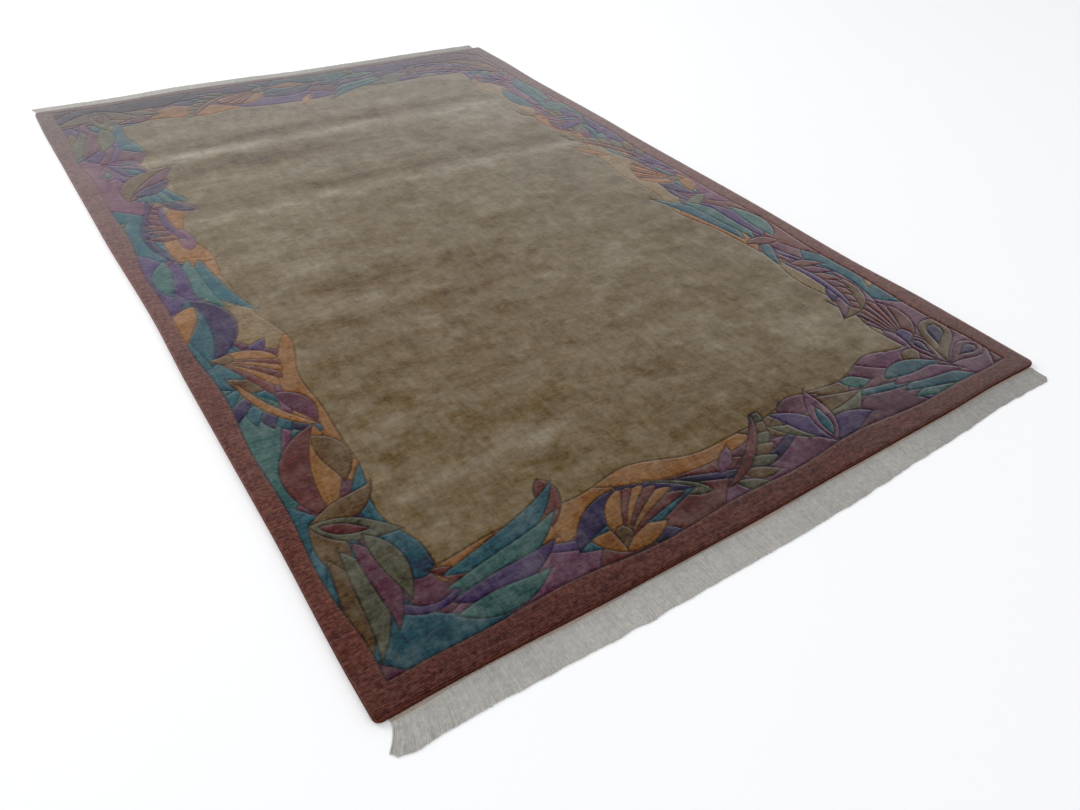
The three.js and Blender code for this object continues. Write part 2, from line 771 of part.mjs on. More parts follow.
// One end's strip and locks, fused. outward is -1 at the near end and 1 at the far one.
function fringe({ from, to, firstLeans, lastLeans, reach }, outward) {
  const bodySides = sidesOf(bodyOutline(0)).filter((side) => side.from.y * outward > LENGTH / 3);
  const edge = (x) => {
    const at = bodySides.find((side) => (side.from.x - x) * (side.to.x - x) <= 0);
    return THREE.MathUtils.mapLinear(x, at.from.x, at.to.x, at.from.y, at.to.y);
  };
  const corners = bodySides.map((side) => side.from.x).filter((x) => x > from && x < to);
  const places = [from, ...corners.sort((a, b) => a - b), to];
  const line = (away) => places.map((x) => new THREE.Vector2(x, edge(x) + outward * away));
  const outline = [...line(PIECE_GAP + STRIP_WIDTH), ...line(PIECE_GAP).reverse()];
  if (outward > 0) outline.reverse();
  let solid = solidOf(skin([raised(outline, 0), raised(outline, STRIP_THICKNESS)]));
  const pitch = (to - from) / LOCKS;
  for (let index = 0; index < LOCKS; index++) {
    const x = from + (index + 0.5) * pitch;
    const root = edge(x) + outward * (PIECE_GAP + STRIP_WIDTH - LOCK_ROOT);
    const tip = edge(x) + outward * (readTable(reach, x) + TIP_JAG * Math.sin(1.7 * index));
    const lean =
      firstLeans * Math.exp(-index / LOCK_LEAN.fades) +
      lastLeans * Math.exp((index - LOCKS + 1) / LOCK_LEAN.fades) +
      LOCK_LEAN.wave * Math.sin(0.3 * index) +
      LOCK_LEAN.jitter * Math.sin(2.3 * index);
    solid = solid.add(solidOf(lock(x, root, tip, lean, pitch * LOCK_COVER, outward)));
  }
  return geometryOf(solid);
}

// One lock of warp ends, four-sided, its underside level on the floor
function lock(x, root, tip, lean, width, outward) {
  const positions = [];
  for (const { reach, width: share, thickness } of LOCK_SECTIONS) {
    const y = THREE.MathUtils.lerp(root, tip, reach);
    const middleX = x + lean * reach ** 1.5;
    const low = (width * share) / 2;
    const high = low * LOCK_CREST;
    positions.push([-low, 0], [low, 0], [high, thickness], [-high, thickness]);
    for (const corner of positions.slice(-4)) corner.splice(0, 2, middleX + corner[0], y, corner[1]);
  }
  const faces = [];
  const sections = LOCK_SECTIONS.length;
  for (let section = 0; section + 1 < sections; section++) {
    for (let k = 0; k < 4; k++) {
      const a = 4 * section + k;
      const b = 4 * section + ((k + 1) % 4);
      faces.push([a, b, b + 4], [a, b + 4, a + 4]);
    }
  }
  const last = 4 * (sections - 1);
  faces.push([0, 2, 1], [0, 3, 2], [last, last + 1, last + 2], [last, last + 2, last + 3]);
  const geometry = new THREE.BufferGeometry();
  geometry.setAttribute("position", new THREE.Float32BufferAttribute(positions.flat(), 3));
  geometry.setIndex(faces.flatMap(([a, b, c]) => (outward < 0 ? [a, b, c] : [a, c, b])));
  return geometry;
}

function piece(name, geometry, color, roughness) {
  geometry.computeVertexNormals();
  const mesh = new THREE.Mesh(geometry, new THREE.MeshStandardMaterial({ color, roughness, metalness: 0 }));
  mesh.name = name;
  return mesh;
}

const rug = new THREE.Group();
rug.add(piece("knotted_pile", knottedPile(), 0x7d725b, 0.9));
rug.add(piece("fringe_near", fringe(ENDS.near, -1), 0xb5b0a6, 0.95));
rug.add(piece("fringe_far", fringe(ENDS.far, 1), 0xb5b0a6, 0.95));

export default rug;
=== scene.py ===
"""A hand-knotted Nepalese wool rug, 200 x 300 cm, lying flat on a pale floor.

The plan is drawn in millimetres from the middle of the rug, X across it and Y along it, and
becomes metres where it goes into a mesh. Headings are radians, anticlockwise from +X.
"""

import math
import random
from collections import namedtuple

import bmesh
import bpy
from mathutils import Matrix, Vector, kdtree, noise
from mathutils.bvhtree import BVHTree
from mathutils.geometry import delaunay_2d_cdt

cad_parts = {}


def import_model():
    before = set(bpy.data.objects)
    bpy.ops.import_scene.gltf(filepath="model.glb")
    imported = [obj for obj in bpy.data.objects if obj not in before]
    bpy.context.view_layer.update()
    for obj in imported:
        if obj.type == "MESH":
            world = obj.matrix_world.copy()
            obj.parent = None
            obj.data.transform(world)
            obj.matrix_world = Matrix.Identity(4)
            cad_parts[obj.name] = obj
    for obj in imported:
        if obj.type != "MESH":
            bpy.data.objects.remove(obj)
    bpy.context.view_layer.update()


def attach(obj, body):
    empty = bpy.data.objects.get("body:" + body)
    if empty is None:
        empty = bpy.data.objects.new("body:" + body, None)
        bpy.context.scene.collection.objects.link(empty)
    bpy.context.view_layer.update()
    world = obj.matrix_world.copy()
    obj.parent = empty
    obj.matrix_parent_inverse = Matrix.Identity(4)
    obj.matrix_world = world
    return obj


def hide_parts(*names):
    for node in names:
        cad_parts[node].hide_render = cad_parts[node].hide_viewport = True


MM = 0.001
WIDTH = 2000
LENGTH = 3010
THICKNESS = 15
CORNER_RADIUS = 16

Place = namedtuple("Place", "x y heading")
Shape = namedtuple("Shape", "loop dye")
Drift = namedtuple("Drift", "along out")
Tone = namedtuple("Tone", "along share")
# How far each of a row strays from its even place, and the pace at which that goes up and down
Stray = namedtuple("Stray", "reach pace")

# How far each edge bulges out from a straight line, read at places along it
EDGE_DRIFT = {
    "left": [
        Drift(-1500, 1), Drift(-1380, 2), Drift(-1000, -3), Drift(-430, -2), Drift(-140, -6),
        Drift(430, 4), Drift(920, 6), Drift(1300, 8), Drift(1500, 5),
    ],
    "right": [
        Drift(-1500, 1), Drift(-1130, 5), Drift(-860, -6), Drift(-380, 2), Drift(220, -2),
        Drift(450, 3), Drift(980, -2), Drift(1280, 7), Drift(1500, 5),
    ],
    "near": [
        Drift(-1000, -2), Drift(-840, -4), Drift(-430, 4), Drift(-100, 5), Drift(200, 1),
        Drift(560, -1), Drift(830, -7), Drift(1000, -5),
    ],
    "far": [
        Drift(-1000, -3), Drift(-700, -6), Drift(-440, 9), Drift(-200, 5), Drift(70, -7),
        Drift(360, -3), Drift(680, 1), Drift(1000, -2),
    ],
}

# The dyed wools as they are in a flat white light, without the sheen that lightens them far off
DYES = {
    "frame": "#54291f",
    "field": "#635339",
    "teal": "#22464e",
    "sea": "#35524e",
    "purple": "#3d2d4d",
    "deep": "#2b1f3b",
    "plum": "#4a2834",
    "mauve": "#583747",
    "orange": "#744f2a",
    "peach": "#6d5b40",
    "rust": "#512b27",
    "olive": "#503d25",
    "sage": "#494737",
}


def srgb(value):
    """A hex colour as linear red, green, blue and alpha."""
    channels = [int(value[i : i + 2], 16) / 255 for i in (1, 3, 5)]
    return [c / 12.92 if c <= 0.04045 else ((c + 0.055) / 1.055) ** 2.4 for c in channels] + [1]


LINEAR_DYES = {name: srgb(value) for name, value in DYES.items()}

# How strongly the rows of knots show: most in the frame, least in the washed field
GRAIN = {"frame": 1.2, "field": 0.3}
BORDER_GRAIN = 0.62
# Painted shade: the pile leans along the rug, and its wools are painted darker towards the near end,
# the carved border's and the frame's more than the field's. At the far end they are painted deep
# under a pale sheen.
PAINTED_SHADE_TONES = {
    "field": [Tone(-1250, 0.9), Tone(-700, 0.96), Tone(-200, 1)],
    "frame": [
        Tone(-1505, 0.62), Tone(-1300, 0.77), Tone(-900, 0.9),
        Tone(0, 0.95), Tone(700, 0.8), Tone(1400, 0.5),
    ],
}
BORDER_PAINTED_SHADE_TONES = [
    Tone(-1505, 0.6), Tone(-1300, 0.75), Tone(-900, 0.95),
    Tone(0, 1.15), Tone(1200, 1), Tone(1400, 0.55),
]
# Further along, the frame's own pile lies over, and this much grey painted sheen is added to its dye
FRAME_PAINTED_SHEEN = [Tone(-1200, 0), Tone(-600, 0.008), Tone(0, 0.02), Tone(700, 0.034)]
# By what share one shape's wool is lighter or darker than another's of the same dye
DYE_SPREAD = Stray(0.07, 7.3)


def stray(kind, index):
    return kind.reach * math.sin(kind.pace * index)


def smoothstep(value, low, high):
    part = min(1, max(0, (value - low) / (high - low)))
    return part * part * (3 - 2 * part)


def read_table(rows, along):
    """Reads the second column of a short table by its first, smoothly from one row to the next."""
    if along <= rows[0][0]:
        return rows[0][1]
    for before, after in zip(rows, rows[1:]):
        if along < after[0]:
            return before[1] + (after[1] - before[1]) * smoothstep(along, before[0], after[0])
    return rows[-1][1]


def left_edge(y):
    return -WIDTH / 2 - read_table(EDGE_DRIFT["left"], y)


def right_edge(y):
    return WIDTH / 2 + read_table(EDGE_DRIFT["right"], y)


def near_edge(x):
    return -LENGTH / 2 - read_table(EDGE_DRIFT["near"], x)


def far_edge(x):
    return LENGTH / 2 + read_table(EDGE_DRIFT["far"], x)


EDGE_STEP = 10
CORNER_STEPS = 6


def body_outline(inset):
    """The knotted body's outline, drawn in by an inset, anticlockwise from its near left corner."""
    across = round(WIDTH / EDGE_STEP)
    along = round(LENGTH / EDGE_STEP)
    points = []

    def corner(x, y, quarter):
        for step in range(CORNER_STEPS + 1):
            turn = math.pi / 2 * (quarter + step / CORNER_STEPS)
            reach = CORNER_RADIUS - inset
            points.append((x + reach * math.cos(turn), y + reach * math.sin(turn)))

    def side(low, high, count, place):
        points.extend(place(low + (high - low) * step / count) for step in range(1, count))

    x0 = left_edge(-LENGTH / 2) + CORNER_RADIUS
    x1 = right_edge(-LENGTH / 2) - CORNER_RADIUS
    x2 = right_edge(LENGTH / 2) - CORNER_RADIUS
    x3 = left_edge(LENGTH / 2) + CORNER_RADIUS
    y0 = near_edge(-WIDTH / 2) + CORNER_RADIUS
    y1 = near_edge(WIDTH / 2) + CORNER_RADIUS
    y2 = far_edge(WIDTH / 2) - CORNER_RADIUS
    y3 = far_edge(-WIDTH / 2) - CORNER_RADIUS
    corner(x0, y0, 2)
    side(x0, x1, across, lambda x: (x, near_edge(x) + inset))
    corner(x1, y1, 3)
    side(y1, y2, along, lambda y: (right_edge(y) - inset, y))
    corner(x2, y2, 0)
    side(x2, x3, across, lambda x: (x, far_edge(x) - inset))
    corner(x3, y3, 1)
    side(y3, y0, along, lambda y: (left_edge(y) + inset, y))
    return points


# The plain frame at the rug's edge and the plain field in its middle, as distances from the edge
Insets = namedtuple("Insets", "left right near far")
FRAME = Insets(52, 67, 62, 47)
FIELD = Insets(248, 268, 243, 293)
BORDER_TURN = 95


def line_inside(insets):
    """The left, right, near and far places of a rectangle within the rug."""
    return Insets(
        insets.left - WIDTH / 2, WIDTH / 2 - insets.right, insets.near - LENGTH / 2, LENGTH / 2 - insets.far
    )


FRAME_LINE = line_inside(FRAME)
FIELD_LINE = line_inside(FIELD)
MIDDLE = Insets(*((outer + inner) / 2 for outer, inner in zip(FRAME_LINE, FIELD_LINE)))
ACROSS_RUN = MIDDLE.right - MIDDLE.left - 2 * BORDER_TURN
ALONG_RUN = MIDDLE.far - MIDDLE.near - 2 * BORDER_TURN
TURN_RUN = BORDER_TURN * math.pi / 2
TURN_HEART = 5
BORDER_RUN = 2 * (ACROSS_RUN + ALONG_RUN + 2 * TURN_RUN)


def in_border(along, across):
    """A place in the border: a distance along its middle line, and one across it to the field.

    The middle line is a rectangle with round corners, from the near left, anticlockwise. In a
    turn, a place stops short of the turn's heart.
    """
    rest = along % BORDER_RUN
    turn = 0
    heading = 0
    x = MIDDLE.left + BORDER_TURN
    y = MIDDLE.near
    for run in (ACROSS_RUN, ALONG_RUN, ACROSS_RUN, ALONG_RUN):
        straight = min(rest, run)
        x += straight * math.cos(heading)
        y += straight * math.sin(heading)
        rest -= straight
        turn = min(rest, TURN_RUN) / BORDER_TURN
        x += BORDER_TURN * (math.sin(heading + turn) - math.sin(heading))
        y -= BORDER_TURN * (math.cos(heading + turn) - math.cos(heading))
        rest -= turn * BORDER_TURN
        heading += turn
        if rest <= 0:
            break
    reach = min(across, BORDER_TURN - TURN_HEART) if turn else across
    return Place(x - reach * math.sin(heading), y + reach * math.cos(heading), heading)


# How the frame's line and the field's waver inwards, as waves that are counted round the rug.
# They die away towards each corner.
Wave = namedtuple("Wave", "count reach start")
FRAME_WAVES = [Wave(9, 6, 0.4), Wave(22, 5, 2)]
FIELD_WAVES = [Wave(7, 20, 0), Wave(17, 13, 1), Wave(29, 6, 2.5)]
WAVE_STEP = 11
WAVE_FADE = 150


def wavering_line(line, waves):
    """A rectangle whose sides waver by the given waves."""
    corners = [
        Vector((line.left, line.near)), Vector((line.right, line.near)),
        Vector((line.right, line.far)), Vector((line.left, line.far)),
    ]
    whole = 2 * (line.right - line.left + line.far - line.near)
    gone = 0
    loop = []
    for start, end in zip(corners, corners[1:] + corners[:1]):
        length = (end - start).length
        way = (end - start).normalized()
        steps = round(length / WAVE_STEP)
        for step in range(steps):
            along = length * step / steps
            turn = 2 * math.pi * (gone + along) / whole
            fade = smoothstep(min(along, length - along), 0, WAVE_FADE)
            inwards = fade * sum(wave.reach * math.sin(wave.count * turn + wave.start) for wave in waves)
            place = start + way * along + Vector((-way.y, way.x)) * inwards
            loop.append(place[:])
        gone += length
    return loop


def on_arc(start, length, bend, part):
    """The place on an arc after a part of its length. It turns by bend over the whole of it."""
    half = bend * part / 2
    chord = length * part * (math.sin(half) / half if half else 1)
    way = start.heading + half
    return Place(start.x + chord * math.cos(way), start.y + chord * math.sin(way), way + half)


def turned(place, turn):
    return place._replace(heading=place.heading + turn)


def moved(place, ahead, turn=0):
    way = place.heading + turn
    return place._replace(x=place.x + ahead * math.cos(way), y=place.y + ahead * math.sin(way))


# One blade of foliage is drawn about an arc. peak moves its widest part towards the tip, and
# blunt below 1 rounds its ends.
Blade = namedtuple("Blade", "peak blunt")
BLADES = {
    "leaf": Blade(0.85, 1),
    "petal": Blade(1.5, 0.62),
    "rib": Blade(1, 0.55),
    "drop": Blade(1.9, 0.75),
}
BLADE_STEP = 10
FEWEST_STEPS = 8


def blade(kind, start, length, width, bend, side=0):
    """A blade's outline. side 1 or -1 gives only the half on that side of its arc."""
    peak, blunt = BLADES[kind]
    steps = max(FEWEST_STEPS, round(length / BLADE_STEP))

    def edge(step, sign):
        part = step / steps
        place = on_arc(start, length, bend, part)
        reach = sign * width / 2 * max(0, math.sin(math.pi * part**peak)) ** blunt
        return (place.x - reach * math.sin(place.heading), place.y + reach * math.cos(place.heading))

    there = [edge(step, 0 if side > 0 else -1) for step in range(steps)]
    back = [edge(step, 0 if side < 0 else 1) for step in range(steps, 0, -1)]
    return there + back


# The kinds of spray. Each gives its shapes, the lowest first, from where it grows, the side of
# the stem that it grows on (1 towards the field), its size and its three dyes.
def bough(start, side, size, first, second, third):
    """A broad leaf in two halves with a leaflet at its foot."""
    bend = -0.75 * side
    foot = turned(on_arc(start, size, bend, 0.12), -side)
    return [
        Shape(blade("leaf", start, size, 0.4 * size, bend), first),
        Shape(blade("leaf", start, size, 0.4 * size, bend, side), second),
        Shape(blade("leaf", foot, 0.55 * size, 0.2 * size, 0.9 * side), third),
    ]


def fan(start, side, size, first, second, third):
    """Six ribs that spread from a small cup."""
    shapes = []
    for rib in range(6):
        foot = turned(start, side * (rib - 2.5) * 0.19)
        grown = size * (1.08 - 0.06 * rib)
        outline = blade("rib", foot, grown, 0.19 * size, -side * (0.75 + 0.07 * rib))
        shapes.append(Shape(outline, first if rib % 2 else second))
    return [*shapes, Shape(blade("drop", moved(start, -0.12 * size), 0.34 * size, 0.2 * size, 0), third)]


def frond(start, side, size, first, second, third):
    """Leaflets along one side of a curved rib."""
    length = 1.25 * size
    bend = 0.7 * side
    shapes = []
    for leaflet in range(6, -1, -1):
        foot = turned(on_arc(start, length, bend, 0.1 + 0.13 * leaflet), -side * (1.15 - 0.1 * leaflet))
        grown = (0.4 - 0.035 * leaflet) * length
        outline = blade("leaf", foot, grown, 0.13 * length, 0.5 * side)
        shapes.append(Shape(outline, second if leaflet % 2 else first))
    return [*shapes, Shape(blade("rib", start, length, 0.09 * length, bend), third)]


def lily(start, side, size, first, second, third):
    """A flower seen from the side, with three petals and a heart."""
    return [
        Shape(blade("leaf", turned(start, 0.5), 0.85 * size, 0.3 * size, 0.9), second),
        Shape(blade("leaf", turned(start, -0.5), 0.85 * size, 0.3 * size, -0.9), second),
        Shape(blade("leaf", start, 0.9 * size, 0.3 * size, 0.15 * side), first),
        Shape(blade("leaf", moved(start, 0.1 * size), 0.5 * size, 0.14 * size, 0.15 * side), third),
    ]


def swell(start, side, size, first, second, third):
    """Four long blades side by side, each shorter than the one before."""
    shapes = []
    for fold, dye in enumerate((first, second, third, second)):
        foot = turned(moved(start, -0.115 * size * fold, -1.5 * side), 0.06 * side * fold)
        grown = size * (1.25 - 0.16 * fold)
        shapes.append(Shape(blade("leaf", foot, grown, 0.2 * size, -side * (0.9 - 0.08 * fold)), dye))
    return shapes


def pods(start, side, size, first, second, third):
    """Three seed pods, each with its seed."""
    shapes = []
    for turn, grown, dye in ((0.75, 0.62, first), (-0.6, 0.7, first), (0.1, 0.95, second)):
        foot = turned(start, turn * side)
        length = grown * size
        bend = -0.4 * side
        seed = on_arc(foot, length, bend, 0.38)
        shapes.append(Shape(blade("drop", foot, length, 0.42 * length, bend), dye))
        shapes.append(Shape(blade("drop", seed, 0.48 * length, 0.2 * length, bend / 2), third))
    return shapes


# The sprays in the order in which they follow each other round the border.
# lean is degrees from the way that the border runs, towards the spray's side.
Spray = namedtuple("Spray", "kind lean size across side")
SPRAYS = [
    Spray(swell, 8, 290, 62, -1),
    Spray(bough, 24, 310, -42, 1),
    Spray(fan, 62, 215, -66, 1),
    Spray(frond, 14, 240, -58, 1),
    Spray(bough, 26, 300, 52, -1),
    Spray(lily, 62, 215, -72, 1),
    Spray(swell, 4, 300, -74, 1),
    Spray(pods, 34, 225, -46, 1),
    Spray(fan, 40, 225, 58, -1),
    Spray(bough, 152, 280, -30, 1),
    Spray(frond, 165, 235, 66, -1),
]
SPRAY_COUNT = 40
SPRAY_STRAYS = {
    "along": Stray(0.3, 2.2), "across": Stray(8, 1.1), "lean": Stray(8, 3.1), "size": Stray(0.12, 1.9),
}
SPRAY_DYES = [
    ("teal", "sea", "purple"),
    ("plum", "olive", "deep"),
    ("mauve", "purple", "teal"),
    ("sage", "olive", "rust"),
    ("teal", "deep", "orange"),
    ("rust", "plum", "purple"),
    ("sea", "teal", "mauve"),
    ("olive", "sage", "plum"),
    ("orange", "rust", "olive"),
]


def spray(index):
    """One spray's shapes. The dyes are taken in steps, so that like ones don't meet."""
    kind, lean, size, across, side = SPRAYS[index % len(SPRAYS)]
    strays = {name: stray(row, index) for name, row in SPRAY_STRAYS.items()}
    along = BORDER_RUN * (index + strays["along"]) / SPRAY_COUNT
    foot = in_border(along, across + strays["across"])
    way = side * math.radians(lean + strays["lean"])
    dyes = SPRAY_DYES[(4 * index + index // len(SPRAY_DYES)) % len(SPRAY_DYES)]
    return kind(turned(foot, way), side, size * (1 + strays["size"]), *dyes)


# Patches of ground dye that rise from the frame and from the field, each overlapping the next.
# foot and crest are places across the border, before and after are in pitches.
Patches = namedtuple("Patches", "foot crest crest_stray before after dyes")
PATCHES = [
    Patches(
        -145, 25, Stray(25, 1.9), -0.35, 1.2,
        [
            "mauve", "rust", "mauve", "plum", "mauve", "teal", "rust", "mauve", "purple", "sea",
            "mauve", "plum", "purple", "teal", "purple", "deep", "purple", "mauve", "teal", "purple",
            "teal", "sea", "teal",
        ],
    ),
    Patches(
        175, -5, Stray(30, 1.9), -0.3, 1.15,
        [
            "orange", "orange", "olive", "mauve", "peach", "orange", "peach", "orange", "peach", "purple",
            "sage", "purple", "orange", "teal", "peach", "orange", "peach", "orange", "teal",
        ],
    ),
]
PATCH_START = Stray(0.1, 2.9)
PATCH_END = Stray(0.3, 2.3)
PATCH_STEPS = 30
PATCH_BLUNT = 0.6


def ground_patches(kind):
    shapes = []
    count = len(kind.dyes)
    for i, dye in enumerate(kind.dyes):
        start = (i + kind.before + stray(PATCH_START, i)) / count
        end = (i + kind.after + stray(PATCH_END, i)) / count
        rise = kind.crest + stray(kind.crest_stray, i) - kind.foot

        def point(part, share):
            return in_border(BORDER_RUN * (start + (end - start) * part), kind.foot + rise * share)[:2]

        parts = [step / PATCH_STEPS for step in range(PATCH_STEPS + 1)]
        loop = [point(part, max(0, math.sin(math.pi * part)) ** PATCH_BLUNT) for part in parts]
        loop += [point(part, 0) for part in reversed(parts[1:-1])]
        # A loop begins at its crest, where it has no tight fold
        crest = PATCH_STEPS // 2
        shapes.append(Shape(loop[crest:] + loop[:crest], dye))
    return shapes


STEM_STRETCHES = 17
STEM_WIDTH = 26
STEM_THINNEST = 0.6
STEM_WAVE = 30
STEM_DRIFT = 14
STEM_STEPS = 60
STEM_OVERLAP = 1.02
STEM_DYES = ["purple", "deep", "teal", "mauve"]


def stem(index):
    """One stretch of the stem that waves along the border's middle, as thick as it swells."""
    sides = ([], [])
    for step in range(STEM_STEPS + 1):
        share = (index + STEM_OVERLAP * step / STEM_STEPS) / STEM_STRETCHES
        turn = 2 * math.pi * share
        across = STEM_WAVE * math.sin(STEM_STRETCHES * turn + 1.2 * math.sin(3 * turn))
        across += STEM_DRIFT * math.sin(7 * turn + 1)
        swelling = (1 - STEM_THINNEST) * math.sin(math.pi * step / STEM_STEPS)
        half = STEM_WIDTH / 2 * (STEM_THINNEST + swelling)
        for side, loop in zip((-half, half), sides):
            loop.append(in_border(BORDER_RUN * share, across + side)[:2])
    return Shape(sides[0] + sides[1][::-1], STEM_DYES[index % len(STEM_DYES)])


FLECKS = 46
FLECK_LENGTH = 135
FLECK_WIDTH = 44
FLECK_STRAYS = {
    "along": Stray(0.4, 1.3), "across": Stray(78, 2.4), "heading": Stray(0.9, 1.7),
    "length": Stray(40, 2.9), "width": Stray(12, 1.1), "bend": Stray(0.8, 2.2),
}
FLECK_DYES = [
    "teal", "rust", "deep", "sage", "mauve", "orange", "sea", "purple", "olive", "plum", "peach",
]


def fleck(index):
    """One of the loose leaves and petals strewn between the stem and the sprays."""
    strays = {name: stray(row, index) for name, row in FLECK_STRAYS.items()}
    place = in_border(BORDER_RUN * (index + strays["along"]) / FLECKS, strays["across"])
    start = turned(place, strays["heading"])
    length = FLECK_LENGTH + strays["length"]
    width = FLECK_WIDTH + strays["width"]
    kind = ("leaf", "petal")[index % 2]
    loop = blade(kind, start, length, width, strays["bend"])
    return Shape(loop, FLECK_DYES[index % len(FLECK_DYES)])


def drawn_shapes():
    """Every shape of the rug's plan, the lowest first: the whole body, then all within its frame."""
    shapes = [Shape(body_outline(0), "frame"), Shape(wavering_line(FRAME_LINE, FRAME_WAVES), "plum")]
    for kind in PATCHES:
        shapes += ground_patches(kind)
    shapes.append(Shape(wavering_line(FIELD_LINE, FIELD_WAVES), "field"))
    shapes += [stem(index) for index in range(STEM_STRETCHES)]
    shapes += [fleck(index) for index in range(FLECKS)]
    for index in range(SPRAY_COUNT):
        shapes += spray(index)
    return shapes


def signed_area(loop):
    return sum(a[0] * b[1] - b[0] * a[1] for a, b in zip(loop, loop[1:] + loop[:1])) / 2


# What delaunay_2d_cdt keeps: only what its outlines hold
KEEP_INSIDE = 1
WELD = 0.01


class Plan:
    """The rug's plan as triangles, each with the shape that shows there."""

    def __init__(self, shapes):
        points = []
        loops = []
        for shape in shapes:
            loop = shape.loop if signed_area(shape.loop) > 0 else shape.loop[::-1]
            loops.append(range(len(points), len(points) + len(loop)))
            points += [Vector(point) for point in loop]
        cut = delaunay_2d_cdt(points, [], [list(loop) for loop in loops], KEEP_INSIDE, WELD)
        self.shapes = shapes
        self.points = cut[0]
        self.triangles = []
        self.shown = []
        for triangle, owners in zip(cut[2], cut[5]):
            if 0 in owners:
                self.triangles.append(triangle)
                self.shown.append(max(owners) if 1 in owners else 0)
        self.finder = BVHTree.FromPolygons([point.to_3d() for point in self.points], self.triangles)

    def shape_at(self, point):
        """The number of the shape that shows at a point."""
        return self.shown[self.finder.find_nearest(point.to_3d())[2]]

    def lines(self):
        """The lines between shapes, as pairs of point numbers."""
        beside = {}
        for triangle, shape in zip(self.triangles, self.shown):
            for a, b in zip(triangle, triangle[1:] + triangle[:1]):
                beside.setdefault((min(a, b), max(a, b)), set()).add(shape)
        return [line for line, shapes in beside.items() if len(shapes) > 1]


# The groove that a carver's shears leave along each line: a cut, and the pile round it opened out
GROOVE_DEPTH = 2.6
GROOVE_HALF_WIDTH = 2.6
ROLL_DEPTH = 0.6
ROLL_REACH = 6
# The brow beside it, where the cut pile leans over and catches the light, given a painted highlight
BROW_AWAY = 5.4
BROW_WIDTH = 1.8
# How clearly the carving shows: sharp at the near end, and further off the leaning nap closes over
# it, and the dyes run together along it
CARVING_SHOWS = [Tone(-1200, 1), Tone(-700, 0.8), Tone(-100, 0.5), Tone(900, 0.4)]
LEAST_BLEND = 1.2
MORE_BLEND = 9
BLEND_SAMPLES = 8
# The mesh follows the lines in steps of this length, longer where they show less, with rows of
# points beside. Shares of a row's distance: how far apart its points are, and how far from lines.
LINE_STEP = 7
ROWS_BESIDE = (2.2, 5, 10)
ROW_SPACING = 0.9
ROW_CLEARANCE = 0.85
# Elsewhere it is a wide grid, which begins past the last row by this factor
GRID_STEP = 24
GRID_CLEARANCE = 1.5
TRACE_STEP = 1.5
# The pile's own unevenness, from years of walking on it
SWELL = 0.5
SWELL_LENGTH = 140


def carved_height(distance, x, y):
    groove = GROOVE_DEPTH * math.exp(-((distance / GROOVE_HALF_WIDTH) ** 2))
    roll = ROLL_DEPTH * math.exp(-distance / ROLL_REACH)
    swell = SWELL * noise.noise(Vector((x, y, 0)) / SWELL_LENGTH)
    return THICKNESS - (groove + roll) * read_table(CARVING_SHOWS, y) + swell


# Where the washed nap lies over in bands and patches, painted sheen makes it lighter or darker than
# the rest: the middle of each, how far it reaches across and along the rug, and how much lighter it is
Nap = namedtuple("Nap", "x y across along lift")
NAP_SHEEN_PATCHES = [
    Nap(-100, 1030, 600, 40, 0.35),
    Nap(0, 930, 850, 34, -0.8),
    Nap(0, 838, 950, 34, 1.0),
    Nap(-560, 845, 170, 22, 0.7),
    Nap(-380, 710, 330, 60, -0.8),
    Nap(550, 690, 190, 150, 0.7),
    Nap(-280, 590, 330, 40, 0.5),
    Nap(50, 430, 750, 45, -0.7),
    Nap(0, 325, 950, 32, 0.9),
    Nap(-520, 322, 200, 22, 0.6),
    Nap(270, 330, 160, 22, 0.4),
    Nap(-560, 150, 230, 520, 0.3),
    Nap(-560, -80, 90, 60, 0.7),
    Nap(120, 40, 50, 60, 0.5),
    Nap(-280, -215, 320, 45, -0.7),
    Nap(580, -200, 170, 40, -0.5),
    Nap(-480, -325, 190, 35, 0.7),
    Nap(-380, -405, 370, 28, -0.8),
    Nap(620, -420, 90, 40, -0.5),
    Nap(340, -490, 80, 32, 0.7),
    Nap(-230, -570, 110, 60, -0.5),
    Nap(250, -800, 250, 40, -0.4),
    Nap(-500, -1065, 240, 38, 0.7),
    Nap(570, -1045, 130, 70, 0.9),
    Nap(200, -1220, 330, 60, -0.4),
]
NAP_WANDER = 24
NAP_WANDER_LENGTH = 110


def nap_sheen_lift(x, y):
    """How much lighter than the rest the nap's painted sheen makes a place."""
    here = Vector((x, y, 0)) / NAP_WANDER_LENGTH
    x += 3 * NAP_WANDER * noise.noise(here)
    y += NAP_WANDER * noise.noise(here + Vector((0, 0, 9)))
    return sum(
        nap.lift * math.exp(-(((x - nap.x) / nap.across) ** 4) - ((y - nap.y) / nap.along) ** 2)
        for nap in NAP_SHEEN_PATCHES
    )


